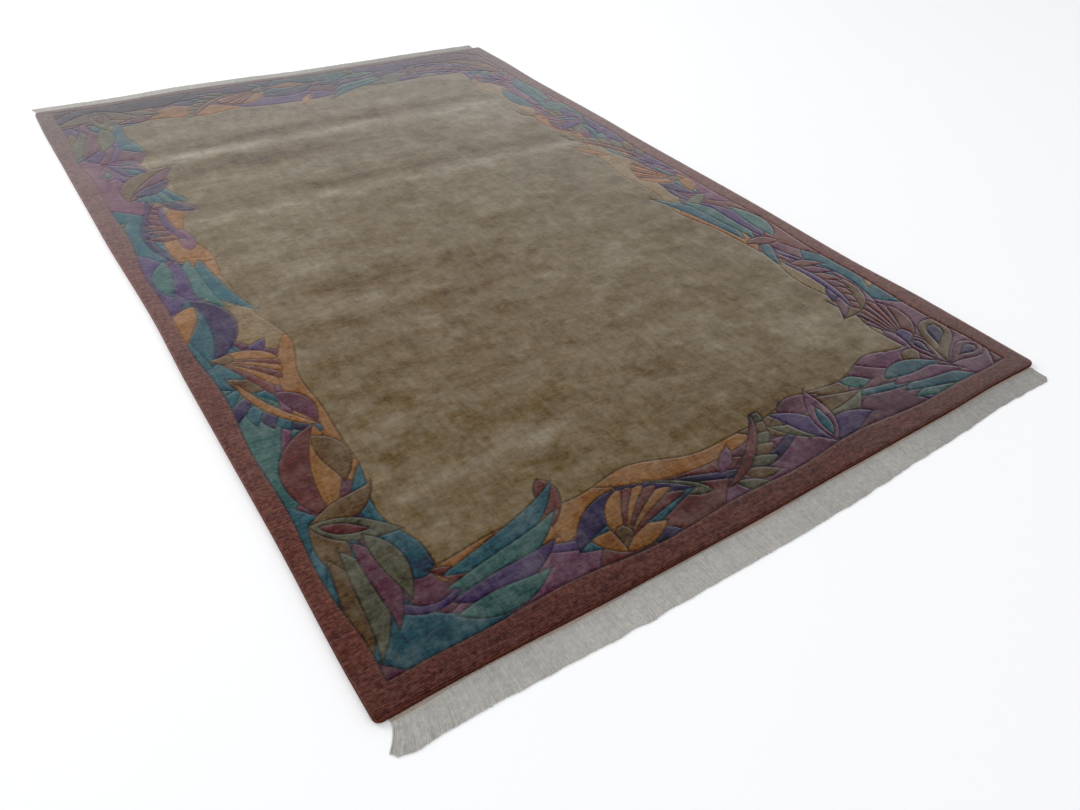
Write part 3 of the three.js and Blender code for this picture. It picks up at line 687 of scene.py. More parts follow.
class Carving:
    """Points of the pile's top, close together beside the carved lines, and their heights."""

    def __init__(self, plan, edge):
        self.points = []
        self.joined = []
        numbers = {}
        beside = []
        trace = []
        for a, b in plan.lines():
            start, end = plan.points[a], plan.points[b]
            run = end - start
            steps = math.ceil(run.length * read_table(CARVING_SHOWS, start.y) / LINE_STEP)
            aside = Vector((-run.y, run.x)).normalized()
            before = self.number(numbers, a, start)
            for step in range(1, steps + 1):
                place = start + run * step / steps
                after = self.number(numbers, b if step == steps else None, place)
                self.joined.append((before, after))
                before = after
                middle = place - run / steps / 2
                beside += [(middle + aside * row * side, row) for row in ROWS_BESIDE for side in (-1, 1)]
            dots = math.ceil(run.length / TRACE_STEP)
            trace += [start + run * dot / dots for dot in range(dots + 1)]
        self.tree = kdtree.KDTree(len(trace))
        for index, point in enumerate(trace):
            self.tree.insert(point.to_3d(), index)
        self.tree.balance()
        self.scatter(beside, edge)

    def number(self, numbers, key, point):
        if key is None or key not in numbers:
            self.points.append(point)
            if key is not None:
                numbers[key] = len(self.points) - 1
            return len(self.points) - 1
        return numbers[key]

    def distance(self, point):
        return self.tree.find(point.to_3d())[2]

    def scatter(self, beside, edge):
        """Adds the rows beside the lines, a wide grid elsewhere, and the body's outer edge."""
        taken = set()
        for point, row in beside:
            cell = (round(point.x / row / ROW_SPACING), round(point.y / row / ROW_SPACING), row)
            if cell not in taken and self.distance(point) > ROW_CLEARANCE * row:
                taken.add(cell)
                self.points.append(point)
        across = range(-WIDTH // 2 + GRID_STEP, WIDTH // 2, GRID_STEP)
        along = range(-LENGTH // 2 + GRID_STEP, LENGTH // 2, GRID_STEP)
        grid = [Vector((x + GRID_STEP / 2 * (row % 2), y)) for row, y in enumerate(along) for x in across]
        self.points += [
            point for point in grid if self.distance(point) > GRID_CLEARANCE * ROWS_BESIDE[-1]
        ]
        first = len(self.points)
        self.points += [Vector(point) for point in edge]
        count = len(edge)
        self.joined += [(first + i, first + (i + 1) % count) for i in range(count)]


# The body's rim, from the top of the pile to the floor: its height and its inset
Ring = namedtuple("Ring", "height inset")
RIM = [
    Ring(15, 12),
    Ring(14.8, 8),
    Ring(14.1, 4.6),
    Ring(12.8, 2.2),
    Ring(11, 0.7),
    Ring(8.5, 0),
    Ring(5, 0),
    Ring(3.6, 0.8),
    Ring(1.4, 0.6),
    Ring(0, 1.6),
]
RAGGED = 0.7
RAGGED_LENGTH = 22
# The pile's tips begin to stand out at the first of these heights and are loose at the second
LOOSE_FROM = 3
LOOSE_AT = 10


def rim_loop(ring):
    """A loop of the rim. The pile's tips stand out unevenly above its knots."""
    loose = smoothstep(ring.height, LOOSE_FROM, LOOSE_AT)
    loop = []
    for x, y in body_outline(ring.inset):
        far = Vector((x / WIDTH, y / LENGTH, 0)).normalized()
        push = RAGGED * loose * (noise.noise(Vector((x, y, 0)) / RAGGED_LENGTH) - 0.5)
        loop.append((x + far.x * push, y + far.y * push))
    return loop


def in_metres(x, y, z):
    return Vector((x, y, z)) * MM


def dye_at(plan, place):
    """The dye that shows at a place, a little off from its fellows, with painted shade and sheen. Its alpha
    is its grain.
    """
    shape = plan.shape_at(place)
    dye = plan.shapes[shape].dye
    spread_and_painted_shade = 1 + stray(DYE_SPREAD, shape)
    # Painted shade along the rug
    spread_and_painted_shade *= read_table(PAINTED_SHADE_TONES.get(dye, BORDER_PAINTED_SHADE_TONES), place.y)
    # A grey painted sheen, added to the frame's dye further along
    painted_sheen = read_table(FRAME_PAINTED_SHEEN, place.y) if dye == "frame" else 0
    colour = [channel * spread_and_painted_shade + painted_sheen for channel in LINEAR_DYES[dye][:3]]
    return Vector((*colour, GRAIN.get(dye, BORDER_GRAIN)))


def paint(faces, plan, dye_and_shade_layer):
    """Gives each face the dye that shows at its middle, with its painted shade and sheen."""
    for face in faces:
        dye = dye_at(plan, face.calc_center_median().xy / MM)
        for loop in face.loops:
            loop[dye_and_shade_layer] = dye


def blend_dyes(bm, plan, dye_and_shade_layer, carving):
    """Lets the dyes run together along the carved lines, as far as the nap closes over them."""
    turns = [2 * math.pi * step / BLEND_SAMPLES for step in range(BLEND_SAMPLES)]
    ring = [Vector((math.cos(turn), math.sin(turn))) for turn in turns]
    for vert in bm.verts:
        middle = vert.co.xy / MM
        reach = LEAST_BLEND + MORE_BLEND * (1 - read_table(CARVING_SHOWS, middle.y))
        if carving.distance(middle) < reach:
            total = sum((dye_at(plan, middle + way * reach) for way in ring), Vector((0, 0, 0, 0)))
            for loop in vert.link_loops:
                loop[dye_and_shade_layer] = total / BLEND_SAMPLES


BACK_SLOT = 1
SIDE_SLOT = 2
CARVED_SLOT = 3
CARVED_GRAIN = 0.5
# Below this height the rim takes the side tufts' material, painted lighter than the top
SIDE_BEGINS = 10


def knotted_pile(plan):
    """The knotted body: the carved top, the rim by extruding its edge, and the flat back."""
    bm = bmesh.new()
    dye_and_shade_layer = bm.loops.layers.float_color.new("dye")
    groove_shade_layer = bm.verts.layers.float.new("groove")
    brow_highlight_layer = bm.verts.layers.float.new("brow")
    nap_sheen_layer = bm.verts.layers.float.new("nap")
    carving = Carving(plan, rim_loop(RIM[0]))
    cut = delaunay_2d_cdt(carving.points, carving.joined, [], KEEP_INSIDE, WELD)
    verts = []
    for point in cut[0]:
        distance = carving.distance(point)
        vert = bm.verts.new(in_metres(point.x, point.y, carved_height(distance, point.x, point.y)))
        shows = read_table(CARVING_SHOWS, point.y)
        # Where the pile's material paints shade into the groove and a highlight on the brow
        vert[groove_shade_layer] = shows * math.exp(-((distance / GROOVE_HALF_WIDTH) ** 2))
        vert[brow_highlight_layer] = shows * math.exp(-(((distance - BROW_AWAY) / BROW_WIDTH) ** 2))
        # The nap's painted sheen, lighter or darker, which the pile's material adds to the dye
        vert[nap_sheen_layer] = nap_sheen_lift(point.x, point.y)
        verts.append(vert)
    for triangle in cut[2]:
        bm.faces.new([verts[i] for i in triangle])
    loose = [vert for vert in bm.verts if not vert.link_faces]
    bmesh.ops.delete(bm, geom=loose, context="VERTS")

    edges = [edge for edge in bm.edges if edge.is_boundary]
    first = rim_loop(RIM[0])
    finder = kdtree.KDTree(len(first))
    for index, (x, y) in enumerate(first):
        finder.insert((x, y, 0), index)
    finder.balance()
    order = {vert: finder.find((vert.co / MM).xy.to_3d())[1] for edge in edges for vert in edge.verts}
    for ring in RIM[1:]:
        loop = rim_loop(ring)
        made = bmesh.ops.extrude_edge_only(bm, edges=edges)["geom"]
        if ring.height < SIDE_BEGINS:
            for face in (item for item in made if isinstance(item, bmesh.types.BMFace)):
                face.material_index = SIDE_SLOT
        edges = [item for item in made if isinstance(item, bmesh.types.BMEdge) and item.is_boundary]
        fresh = {}
        for vert in (item for item in made if isinstance(item, bmesh.types.BMVert)):
            old = next(edge.other_vert(vert) for edge in vert.link_edges if edge.other_vert(vert) in order)
            fresh[vert] = order[old]
            vert.co = in_metres(*loop[order[old]], ring.height)
        order = fresh
    bm.faces.ensure_lookup_table()
    paint(bm.faces, plan, dye_and_shade_layer)
    for face in bm.faces:
        if face.material_index != SIDE_SLOT and face.loops[0][dye_and_shade_layer][3] > CARVED_GRAIN:
            face.material_index = CARVED_SLOT
    blend_dyes(bm, plan, dye_and_shade_layer, carving)
    add_back(bm, plan, dye_and_shade_layer)
    bmesh.ops.remove_doubles(bm, verts=bm.verts, dist=0.02 * MM)
    bmesh.ops.recalc_face_normals(bm, faces=bm.faces)
    return bm


def add_back(bm, plan, dye_and_shade_layer):
    """The underside, where the knots show the same plan flat."""
    edge = rim_loop(RIM[-1])
    first = len(plan.points)
    count = len(edge)
    points = plan.points + [Vector(point) for point in edge]
    joined = plan.lines() + [(first + i, first + (i + 1) % count) for i in range(count)]
    used = sorted({end for line in joined for end in line})
    number = {old: new for new, old in enumerate(used)}
    lines = [(number[a], number[b]) for a, b in joined]
    cut = delaunay_2d_cdt([points[i] for i in used], lines, [], KEEP_INSIDE, WELD)
    verts = [bm.verts.new(in_metres(point.x, point.y, 0)) for point in cut[0]]
    faces = [bm.faces.new([verts[i] for i in reversed(triangle)]) for triangle in cut[2]]
    for face in faces:
        face.material_index = BACK_SLOT
    paint(faces, plan, dye_and_shade_layer)


# The fringed ends: a flat-woven strip, and the warp ends that run out of it
PIECE_GAP = 0.3
STRIP_WIDTH = 12
STRIP_THICKNESS = 3
STRIP_ROUNDING = 1.1
STRIP_ROUND_STEPS = 3
# An edge whose faces turn by more than this, in radians, is sharp
SHARP = 1
End = namedtuple("End", "name edge outward start end first_leans last_leans reach")
ENDS = [
    End(
        "near", near_edge, -1, -975, 981, -28, 0,
        [
            Drift(-975, 55), Drift(-964, 68), Drift(-940, 73), Drift(-400, 77), Drift(130, 79),
            Drift(440, 69), Drift(740, 61), Drift(965, 62), Drift(981, 52),
        ],
    ),
    End(
        "far", far_edge, 1, -994, 984, -12, 7,
        [Drift(-900, 70), Drift(-300, 76), Drift(300, 71), Drift(900, 74)],
    ),
]


def end_strip(end):
    """The flat-woven strip along one end, with its top edges rounded over."""
    bm = bmesh.new()
    steps = round((end.end - end.start) / EDGE_STEP)
    bmesh.ops.create_grid(bm, x_segments=steps, y_segments=1, size=0.5)
    for vert in bm.verts:
        x = end.start + (end.end - end.start) * (vert.co.x + 0.5)
        away = PIECE_GAP + STRIP_WIDTH * (vert.co.y + 0.5)
        vert.co = in_metres(x, end.edge(x) + end.outward * away, 0)
    made = bmesh.ops.extrude_face_region(bm, geom=bm.faces[:])["geom"]
    top = [item for item in made if isinstance(item, bmesh.types.BMVert)]
    bmesh.ops.translate(bm, verts=top, vec=(0, 0, STRIP_THICKNESS * MM))
    raised = set(top)
    rims = [
        edge for edge in bm.edges
        if raised.issuperset(edge.verts) and not edge.is_boundary and edge.calc_face_angle(0) > SHARP
    ]
    bmesh.ops.bevel(
        bm, geom=rims, offset=STRIP_ROUNDING * MM, segments=STRIP_ROUND_STEPS, profile=0.5,
        affect="EDGES", material=-1,
    )
    bmesh.ops.recalc_face_normals(bm, faces=bm.faces)
    return bm


STRANDS = 2300
STRAND_RADIUS = 1.05
# A strand's least and greatest share of that radius, how much wider than high it is, and by what
# share its tip is slimmer. None lies lower than the last.
STRAND_RADII = (0.8, 1.15)
STRAND_WIDER = 1.1
TIP_SLIMMER = 0.1
LOWEST = 0.05
STRAND_STATIONS = 6
STRAND_SIDES = 4
# Where a strand stands in its own share of the row
STRAND_PLACES = (0.1, 0.9)
# The tips end in one line that waves, and each a little off from it
TIP_WAVE = 3.5
TIP_WAVE_LENGTH = 48
TIP_JAG = 0.5
# A strand leans with its neighbours and a little by itself. Now and then one strays further.
STRAY_EVERY = 23
STRAY_LEAN = 4
LEAN_JITTER = 0.6
LEAN_WAVE = 5
LEAN_WAVE_LENGTH = 70
LEAN_FADES = 100
LEAN_CURVE = 1.5
# It sways by a reach between these, and turns by so many radians from root to tip
STRAND_SWAYS = (0.1, 0.5)
SWAY_TURN = 5
# It comes out of the strip at this share of its width, which wanders, and comes down to the floor
# over so many of its widths
ROOT_SHARE = 0.55
ROOT_WANDER = 0.45
ROOT_WANDER_LENGTH = 170
COMES_DOWN = 1.6
# The strands lie in layers, each this much higher at its root, and the upper ones ripple
STRAND_LAYERS = 3
LAYER_RISE = 0.6
LAYER_FALL = 0.5
RIPPLE = 0.2
RIPPLE_TURN = 9
# The yarn's colour is darker towards the right, and each strand is a little off from the next
YARN_TONES = [Tone(-350, 1), Tone(250, 0.87), Tone(750, 0.78)]
YARN_SPREAD = 0.045


def strand_path(end, index, chance):
    """A strand's middle line from under the strip to its tip, lying on the floor or on others."""
    share = (index + chance.uniform(*STRAND_PLACES)) / STRANDS
    x = end.start + (end.end - end.start) * share
    reach = read_table(end.reach, x) + TIP_JAG * chance.gauss(0, 1)
    reach += TIP_WAVE * noise.noise(Vector((x / TIP_WAVE_LENGTH, end.outward, 0)))
    lean = end.first_leans * math.exp((end.start - x) / LEAN_FADES)
    lean += end.last_leans * math.exp((x - end.end) / LEAN_FADES)
    lean += LEAN_WAVE * noise.noise(Vector((x / LEAN_WAVE_LENGTH, end.outward, 5)))
    inboard = min(x - end.start, end.end - x) > LEAN_FADES / 2
    strays = index % STRAY_EVERY == 0 and inboard
    lean += (STRAY_LEAN if strays else 1) * chance.gauss(0, LEAN_JITTER)
    wave = chance.uniform(*STRAND_SWAYS)
    phase = chance.uniform(0, 2 * math.pi)
    layer = index % STRAND_LAYERS
    wander = ROOT_WANDER * noise.noise(Vector((x / ROOT_WANDER_LENGTH, end.outward, 8)))
    root = PIECE_GAP + STRIP_WIDTH * (ROOT_SHARE + wander)
    path = []
    for station in range(STRAND_STATIONS):
        part = station / (STRAND_STATIONS - 1)
        sway = wave * math.sin(phase + SWAY_TURN * part) * part
        away = root + (reach - root) * part
        height = STRAND_RADIUS + LAYER_RISE * layer * (1 - LAYER_FALL * part)
        height += RIPPLE * math.sin(phase + RIPPLE_TURN * part) * (layer > 0)
        height += STRIP_THICKNESS * max(0, 1 - (away - PIECE_GAP) / (COMES_DOWN * STRIP_WIDTH))
        path.append((x + lean * part**LEAN_CURVE + sway, end.edge(x) + end.outward * away, height))
    return path


def strands(end):
    """All the strands of one end, each a four-sided tube that thins towards its tip."""
    chance = random.Random(end.name)
    verts = []
    faces = []
    shades = []
    for index in range(STRANDS):
        first = len(verts)
        along = end.start + (end.end - end.start) * index / STRANDS
        shade = read_table(YARN_TONES, along) * chance.gauss(1, YARN_SPREAD)
        radius = STRAND_RADIUS * chance.uniform(*STRAND_RADII)
        for station, (x, y, z) in enumerate(strand_path(end, index, chance)):
            part = station / (STRAND_STATIONS - 1)
            thick = radius * (1 - TIP_SLIMMER * part**2)
            for side in range(STRAND_SIDES):
                turn = 2 * math.pi * side / STRAND_SIDES
                height = max(LOWEST, z + thick * math.sin(turn))
                verts.append(in_metres(x + STRAND_WIDER * thick * math.cos(turn), y, height))
                shades.append(shade)
            if station:
                low = first + (station - 1) * STRAND_SIDES
                high = low + STRAND_SIDES
                for side in range(STRAND_SIDES):
                    beside = (side + 1) % STRAND_SIDES
                    faces.append((low + side, low + beside, high + beside, high + side))
        last = len(verts) - STRAND_SIDES
        faces.append(tuple(range(first, first + STRAND_SIDES)))
        faces.append(tuple(range(last, last + STRAND_SIDES)))
    mesh = bpy.data.meshes.new(f"warp_ends_{end.name}")
    mesh.from_pydata(verts, [], faces)
    shade_layer = mesh.attributes.new("shade", "FLOAT", "POINT")
    shade_layer.data.foreach_set("value", shades)
    bm = bmesh.new()
    bm.from_mesh(mesh)
    bmesh.ops.recalc_face_normals(bm, faces=bm.faces)
    bm.to_mesh(mesh)
    bm.free()
    return mesh


def add(tree, kind, inputs=None, output=0, **settings):
    """Adds a node and gives one output. inputs maps a socket to its value or to a linked output."""
    made = tree.nodes.new("ShaderNode" + kind)
    for name, value in settings.items():
        setattr(made, name, value)
    for name, value in (inputs or {}).items():
        if isinstance(value, bpy.types.NodeSocket):
            tree.links.new(value, made.inputs[name])
        else:
            made.inputs[name].default_value = value
    return made.outputs[output] if made.outputs else made


def make_material(name, surface, **looks):
    """A material whose surface function adds its nodes and gives the last one, a shader."""
    material = bpy.data.materials.new(name)
    material.use_nodes = True
    tree = material.node_tree
    tree.nodes.clear()
    coords = add(tree, "TexCoord", output="Object")
    add(tree, "OutputMaterial", {"Surface": surface(tree, coords, **looks)})
    return material


# How a dyed wool differs over the rug: the size of each kind of mottle across and along it in
# millimetres, how rough it is, and by what share it turns the colour darker and lighter.
Mottle = namedtuple("Mottle", "across along detail share")
WOOL_MOTTLE = [Mottle(70, 40, 5, 0.16), Mottle(16, 11, 3, 0.14)]
# The clouds and brush marks of the washed nap's painted sheen, besides its bands. Where it lies over
# a pale painted sheen is added to the dye, and where it stands up that is taken away.
NAP_SHEEN_MOTTLE = [
    Mottle(900, 130, 4, 0.45),
    Mottle(170, 100, 6, 0.65),
    Mottle(62, 48, 6, 0.7),
    Mottle(18, 64, 4, 0.45),
    Mottle(26, 20, 4, 0.4),
]
# The first of the nap's noises, after those of the dye and the knots
NAP_FIRST_STEP = 5
NAP_PAINTED_SHEEN = (0.05, 0.048, 0.041)
NAP_SHEEN_BANDS = 1.05
NAP_SHEEN_STREAKS = 0.2
DARKEST = (0.006, 0.005, 0.004)
# The carved border's nap lies over less, and the frame's stands up and keeps only this share of the
# painted sheen
FRAME_NAP_SHEEN = 0.12
# A noise seldom leaves the first bounds, and the knots' sum of noises the second. Each noise of a
# material is taken from another place, a step of so many mottles on from the last.
NOISE_BOUNDS = (0.25, 0.75)
KNOT_BOUNDS = (0.3, 0.7)
NOISE_STEP = 7.3
# Knots and rows are about 3 mm apart in the real rug, drawn here coarser so that they show
ROW_PITCH = 4.5
KNOTS = Mottle(9, 7, 2, 0)
ROW_MARKS = Mottle(45, 4.5, 2, 0)
KNOT_DARK = -0.95
KNOT_LIGHT = 1.2
# How far a knot's own dye swings, and how much of the nap's painted sheen its lit side adds
KNOT_SHADE = 0.6
KNOT_PAINTED_SHEEN = 0.34
# Painted shade in a groove, as the share of the light left there, and the painted highlight added on the
# brow beside it
GROOVE_PAINTED_SHADE = 0.5
BROW_PAINTED_HIGHLIGHT = 0.14
# A wave texture at scale 1 repeats every 0.314 units
WAVE_PERIOD = math.pi / 10


def cloud(tree, mottle, coords, step=0):
    """A noise as large as its mottle."""
    scale = (1 / (mottle.across * MM), 1 / (mottle.along * MM), 1 / (mottle.across * MM))
    shift = (NOISE_STEP * step, 0, 0)
    place = add(tree, "Mapping", {"Vector": coords, "Scale": scale, "Location": shift})
    settings = {"Scale": 1, "Detail": mottle.detail, "Roughness": 0.6, "Distortion": 0.35}
    return add(tree, "TexNoise", {"Vector": place, **settings})


def mottled(tree, mottles, coords):
    """A share near 1 that turns a colour darker and lighter, by several mottles at once."""
    total = 1
    low, high = NOISE_BOUNDS
    for step, mottle in enumerate(mottles):
        given = cloud(tree, mottle, coords, step)
        bounds = {1: low, 2: high, 3: 1 - mottle.share, 4: 1 + mottle.share}
        swing = add(tree, "MapRange", {0: given, **bounds})
        total = add(tree, "Math", {0: swing, 1: total}, operation="MULTIPLY")
    return total


def knot_rows(tree, coords):
    """The rows of knots across the rug: a straight wave, marks along it, and the knots in it."""
    total = 0
    wave = add(
        tree, "TexWave",
        {
            "Vector": coords,
            "Scale": WAVE_PERIOD / (ROW_PITCH * MM),
            "Distortion": 1.5,
            "Detail": 1,
            "Detail Scale": 0.15,
        },
        output="Fac",
        bands_direction="Y",
    )
    parts = [
        (wave, 0.12),
        (cloud(tree, ROW_MARKS, coords, 4), 0.34),
        (cloud(tree, KNOTS, coords, 3), 0.54),
    ]
    for part, weight in parts:
        total = add(tree, "Math", {0: part, 1: weight, 2: total}, operation="MULTIPLY_ADD")
    return total


def nap_painted_sheen(tree, coords):
    """How much painted sheen the nap adds where it lies over, about 0: the bands that the mesh holds, and
    the mottles.
    """
    bands = add(tree, "Attribute", output="Fac", attribute_name="nap")
    total = add(tree, "Math", {0: bands, 1: NAP_SHEEN_BANDS}, operation="MULTIPLY")
    low, high = NOISE_BOUNDS
    for step, mottle in enumerate(NAP_SHEEN_MOTTLE, NAP_FIRST_STEP):
        given = cloud(tree, mottle, coords, step)
        bounds = {1: low, 2: high, 3: -mottle.share, 4: mottle.share}
        swing = add(tree, "MapRange", {0: given, **bounds})
        total = add(tree, "Math", {0: swing, 1: total})
    over = add(tree, "Math", {0: total, 1: 0}, operation="MAXIMUM")
    streaks = add(tree, "Math", {0: over, 1: NAP_SHEEN_STREAKS}, operation="MULTIPLY")
    return add(tree, "Math", {0: streaks, 1: over, 2: total}, operation="MULTIPLY_ADD")


def wool_pile(tree, coords, sheen_roughness, sheen_tint):
    """Dense cut wool pile: dull yarn ends seen from above, with a painted silky sheen where the nap lies
    over.

    A rougher sheen is that of a nap that stands up, and it turns paler towards the far end.
    """
    dye = add(tree, "Attribute", output="Color", attribute_name="dye")
    grain = dye.node.outputs["Alpha"]
    groove = add(tree, "Attribute", output="Fac", attribute_name="groove")
    brow = add(tree, "Attribute", output="Fac", attribute_name="brow")
    rows = knot_rows(tree, coords)
    share = mottled(tree, WOOL_MOTTLE, coords)
    low, high = KNOT_BOUNDS
    swing = add(tree, "MapRange", {0: rows, 1: low, 2: high, 3: KNOT_DARK, 4: KNOT_LIGHT})
    knots = add(tree, "Math", {0: swing, 1: grain}, operation="MULTIPLY")
    shown = add(tree, "Math", {0: knots, 1: KNOT_SHADE, 2: 1}, operation="MULTIPLY_ADD")
    # Painted shade in the groove and a painted highlight on the brow
    deep = add(tree, "MapRange", {0: groove, 1: 0, 2: 1, 3: 1, 4: GROOVE_PAINTED_SHADE})
    bright = add(tree, "Math", {0: brow, 1: BROW_PAINTED_HIGHLIGHT, 2: deep}, operation="MULTIPLY_ADD")
    mottled_and_shaded = add(tree, "Math", {0: share, 1: bright}, operation="MULTIPLY")
    shade = add(tree, "Math", {0: mottled_and_shaded, 1: shown}, operation="MULTIPLY")
    own = add(tree, "VectorMath", {0: dye, "Scale": shade}, operation="SCALE")
    lies = add(tree, "MapRange", {0: grain, 1: GRAIN["field"], 2: GRAIN["frame"], 3: 1, 4: FRAME_NAP_SHEEN})
    # The nap's painted sheen, and the painted sheen of the knots' lit sides
    laid_sheen = add(tree, "Math", {0: nap_painted_sheen(tree, coords), 1: lies}, operation="MULTIPLY")
    lit = add(tree, "Math", {0: knots, 1: KNOT_PAINTED_SHEEN, 2: laid_sheen}, operation="MULTIPLY_ADD")
    painted_sheen = add(tree, "VectorMath", {0: NAP_PAINTED_SHEEN, "Scale": lit}, operation="SCALE")
    both = add(tree, "VectorMath", {0: own, 1: painted_sheen}, operation="ADD")
    colour = add(tree, "VectorMath", {0: both, 1: DARKEST}, operation="MAXIMUM")
    bump = add(tree, "Bump", {"Strength": 0.7, "Distance": 1.2 * MM, "Height": rows})
    return add(
        tree, "BsdfPrincipled",
        {
            "Base Color": colour,
            "Roughness": 0.9,
            "Specular IOR Level": 0.08,
            "Sheen Weight": 1.0,
            "Sheen Roughness": sheen_roughness,
            "Sheen Tint": srgb(sheen_tint),
            "Normal": bump,
        },
    )


# The sides don't lean, and their dye is painted this much lighter than the leaning top's: at the
# near end this takes back the top's painted shade, and elsewhere it paints the sides lighter
SIDE_PAINTED_LIGHT = 1.6
SIDE_MOTTLE = [Mottle(60, 60, 3, 0.2), Mottle(5, 5, 2, 0.4)]
TUFTS = Mottle(4, 4, 2, 0)


def wool_side(tree, coords):
    """The pile's side tufts at the rug's edge: the same wool end on, painted lighter than the top, and
    dull.
    """
    dye = add(tree, "Attribute", output="Color", attribute_name="dye")
    share = mottled(tree, SIDE_MOTTLE, coords)
    lit = add(tree, "Math", {0: share, 1: SIDE_PAINTED_LIGHT}, operation="MULTIPLY")
    colour = add(tree, "VectorMath", {0: dye, "Scale": lit}, operation="SCALE")
    tufts = cloud(tree, TUFTS, coords)
    bump = add(tree, "Bump", {"Strength": 0.8, "Distance": 1.2 * MM, "Height": tufts})
    settings = {"Roughness": 0.95, "Specular IOR Level": 0.05}
    return add(tree, "BsdfPrincipled", {"Base Color": colour, "Normal": bump, **settings})


def wool_back(tree, coords):
    """The knots' backs: the same dyes, duller, in flat rows between cotton wefts."""
    dye = add(tree, "Attribute", output="Color", attribute_name="dye")
    share = mottled(tree, WOOL_MOTTLE, coords)
    colour = add(tree, "VectorMath", {0: dye, "Scale": share}, operation="SCALE")
    rows = knot_rows(tree, coords)
    bump = add(tree, "Bump", {"Strength": 0.6, "Distance": 0.8 * MM, "Height": rows})
    settings = {"Roughness": 0.95, "Specular IOR Level": 0.15}
    return add(tree, "BsdfPrincipled", {"Base Color": colour, "Normal": bump, **settings})


COTTON = {"Roughness": 0.95, "Specular IOR Level": 0.2}
WEAVE_COLOUR = "#a7978a"
WEAVE_MOTTLE = [Mottle(60, 6, 3, 0.15), Mottle(3, 6, 2, 0.2)]
YARN_COLOUR = "#b1aea8"
YARN_MOTTLE = [Mottle(300, 200, 3, 0.08), Mottle(17, 12, 3, 0.1), Mottle(5, 8, 2, 0.13)]


def cotton_weave(tree, coords):
    """Undyed cotton in a close plain weave, which shows as fine ribs across the strip."""
    share = mottled(tree, WEAVE_MOTTLE, coords)
    colour = add(tree, "VectorMath", {0: srgb(WEAVE_COLOUR)[:3], "Scale": share}, operation="SCALE")
    return add(tree, "BsdfPrincipled", {"Base Color": colour, **COTTON})


def cotton_yarn(tree, coords):
    """Undyed plied cotton: matt, cream going grey, each strand a little off from the next."""
    own = add(tree, "Attribute", output="Fac", attribute_name="shade")
    share = mottled(tree, YARN_MOTTLE, coords)
    both = add(tree, "Math", {0: share, 1: own}, operation="MULTIPLY")
    colour = add(tree, "VectorMath", {0: srgb(YARN_COLOUR)[:3], "Scale": both}, operation="SCALE")
    return add(tree, "BsdfPrincipled", {"Base Color": colour, **COTTON})


def matt_paint(tree, coords):
    """Smooth matt paint, nearly white, which shows no pattern."""
    return add(tree, "BsdfPrincipled", {"Base Color": srgb("#fafaf9"), "Roughness": 0.9})


def show(name, mesh, *materials):
    """A new object at the origin with this mesh."""
    for material in materials:
        mesh.materials.append(material)
    made = bpy.data.objects.new(name, mesh)
    bpy.context.scene.collection.objects.link(made)
    return made


def mesh_of(bm, name):
    mesh = bpy.data.meshes.new(name)
    bm.to_mesh(mesh)
    bm.free()
    return mesh


def make_rug():
    """The body, and for each end its strip and strands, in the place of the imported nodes."""
    washed = make_material(
        "wool_pile_cut_and_washed", wool_pile, sheen_roughness=0.36, sheen_tint="#f1f8fb",
    )
    carved = make_material(
        "wool_pile_cut_and_carved", wool_pile, sheen_roughness=0.365, sheen_tint="#fbf8f7",
    )
    back = make_material("wool_knots_seen_from_behind", wool_back)
    side = make_material("wool_tufts_at_the_edge", wool_side)
    pile_mesh = mesh_of(knotted_pile(Plan(drawn_shapes())), "pile")
    pile = show("pile", pile_mesh, washed, back, side, carved)
    pile.data.shade_smooth()
    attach(pile, "root")
    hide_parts("knotted_pile")
    weave = make_material("cotton_plain_weave_undyed", cotton_weave)
    yarn = make_material("cotton_warp_yarn_undyed", cotton_yarn)
    trims = []
    for end in ENDS:
        strip = show(f"woven_end_{end.name}", mesh_of(end_strip(end), f"woven_end_{end.name}"), weave)
        fringe = show(f"warp_ends_{end.name}", strands(end), yarn)
        for piece in (strip, fringe):
            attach(piece, "root")
            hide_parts(f"fringe_{end.name}")
            trims.append(piece)
    return pile, trims


FLOOR_SIZE = 40
FLOOR_DROP = 0.3


def make_floor():
    bm = bmesh.new()
    bmesh.ops.create_grid(bm, x_segments=1, y_segments=1, size=FLOOR_SIZE / 2)
    bmesh.ops.translate(bm, verts=bm.verts, vec=(0, 0, -FLOOR_DROP * MM))
    floor = show("floor", mesh_of(bm, "floor"), make_material("matt_white_floor_paint", matt_paint))
    return floor


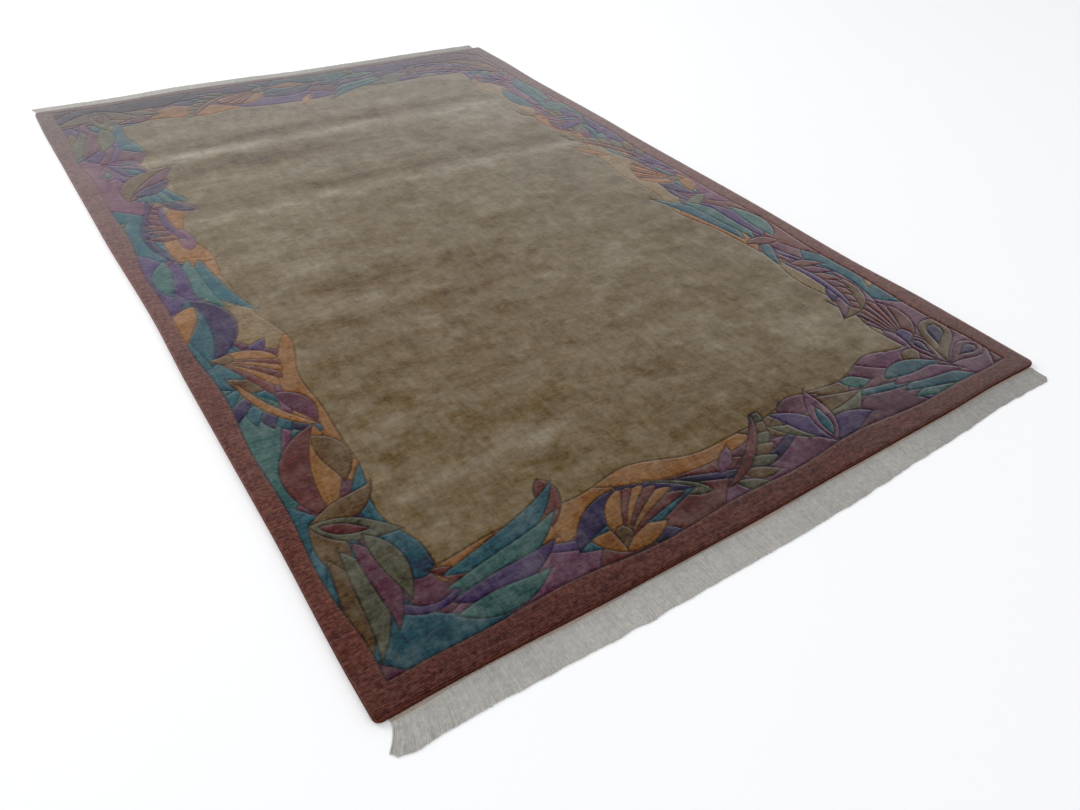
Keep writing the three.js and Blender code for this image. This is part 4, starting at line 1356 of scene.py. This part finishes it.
# The camera as the photograph's straight edges give it, in metres and degrees
CAMERA_PLACE = Vector((-1.242, -2.220, 1.330))
CAMERA_HEADING = 36.84
CAMERA_PITCH = 39.84
CAMERA_ROLL = 4.18
FOCAL_LENGTH = 27.82
SENSOR_WIDTH = 36


def make_camera():
    heading, pitch, roll = (math.radians(a) for a in (CAMERA_HEADING, CAMERA_PITCH, CAMERA_ROLL))
    flat = math.cos(pitch)
    ahead = Vector((math.sin(heading) * flat, math.cos(heading) * flat, -math.sin(pitch)))
    level = Vector((math.cos(heading), -math.sin(heading), 0))
    right = level * math.cos(roll) + level.cross(ahead) * math.sin(roll)
    up = right.cross(ahead)
    data = bpy.data.cameras.new("camera")
    data.lens = FOCAL_LENGTH
    data.sensor_width = SENSOR_WIDTH
    camera = bpy.data.objects.new("camera", data)
    bpy.context.scene.collection.objects.link(camera)
    turn = Matrix((right, up, -ahead)).transposed().to_4x4()
    camera.matrix_world = Matrix.Translation(CAMERA_PLACE) @ turn
    bpy.context.scene.camera = camera


# A window beyond the far left corner, in metres and watts, and the pale room
WINDOW_PLACE = Vector((-3.5, 5.5, 4.2))
WINDOW_SIZE = 4
WINDOW_POWER = 240
ROOM_COLOUR = "#fbfcff"
ROOM_STRENGTH = 0.9


def make_light():
    world = bpy.data.worlds.new("soft_studio")
    world.use_nodes = True
    background = world.node_tree.nodes["Background"]
    background.inputs["Color"].default_value = srgb(ROOM_COLOUR)
    background.inputs["Strength"].default_value = ROOM_STRENGTH
    bpy.context.scene.world = world
    data = bpy.data.lights.new("window", "AREA")
    data.shape = "DISK"
    data.size = WINDOW_SIZE
    data.energy = WINDOW_POWER
    light = bpy.data.objects.new("window", data)
    bpy.context.scene.collection.objects.link(light)
    light.location = WINDOW_PLACE
    light.rotation_euler = (-WINDOW_PLACE).to_track_quat("-Z", "Y").to_euler()
    bpy.context.scene.view_settings.view_transform = "Standard"


def main():
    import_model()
    pile, trims = make_rug()
    floor = make_floor()
    make_camera()
    make_light()


main()
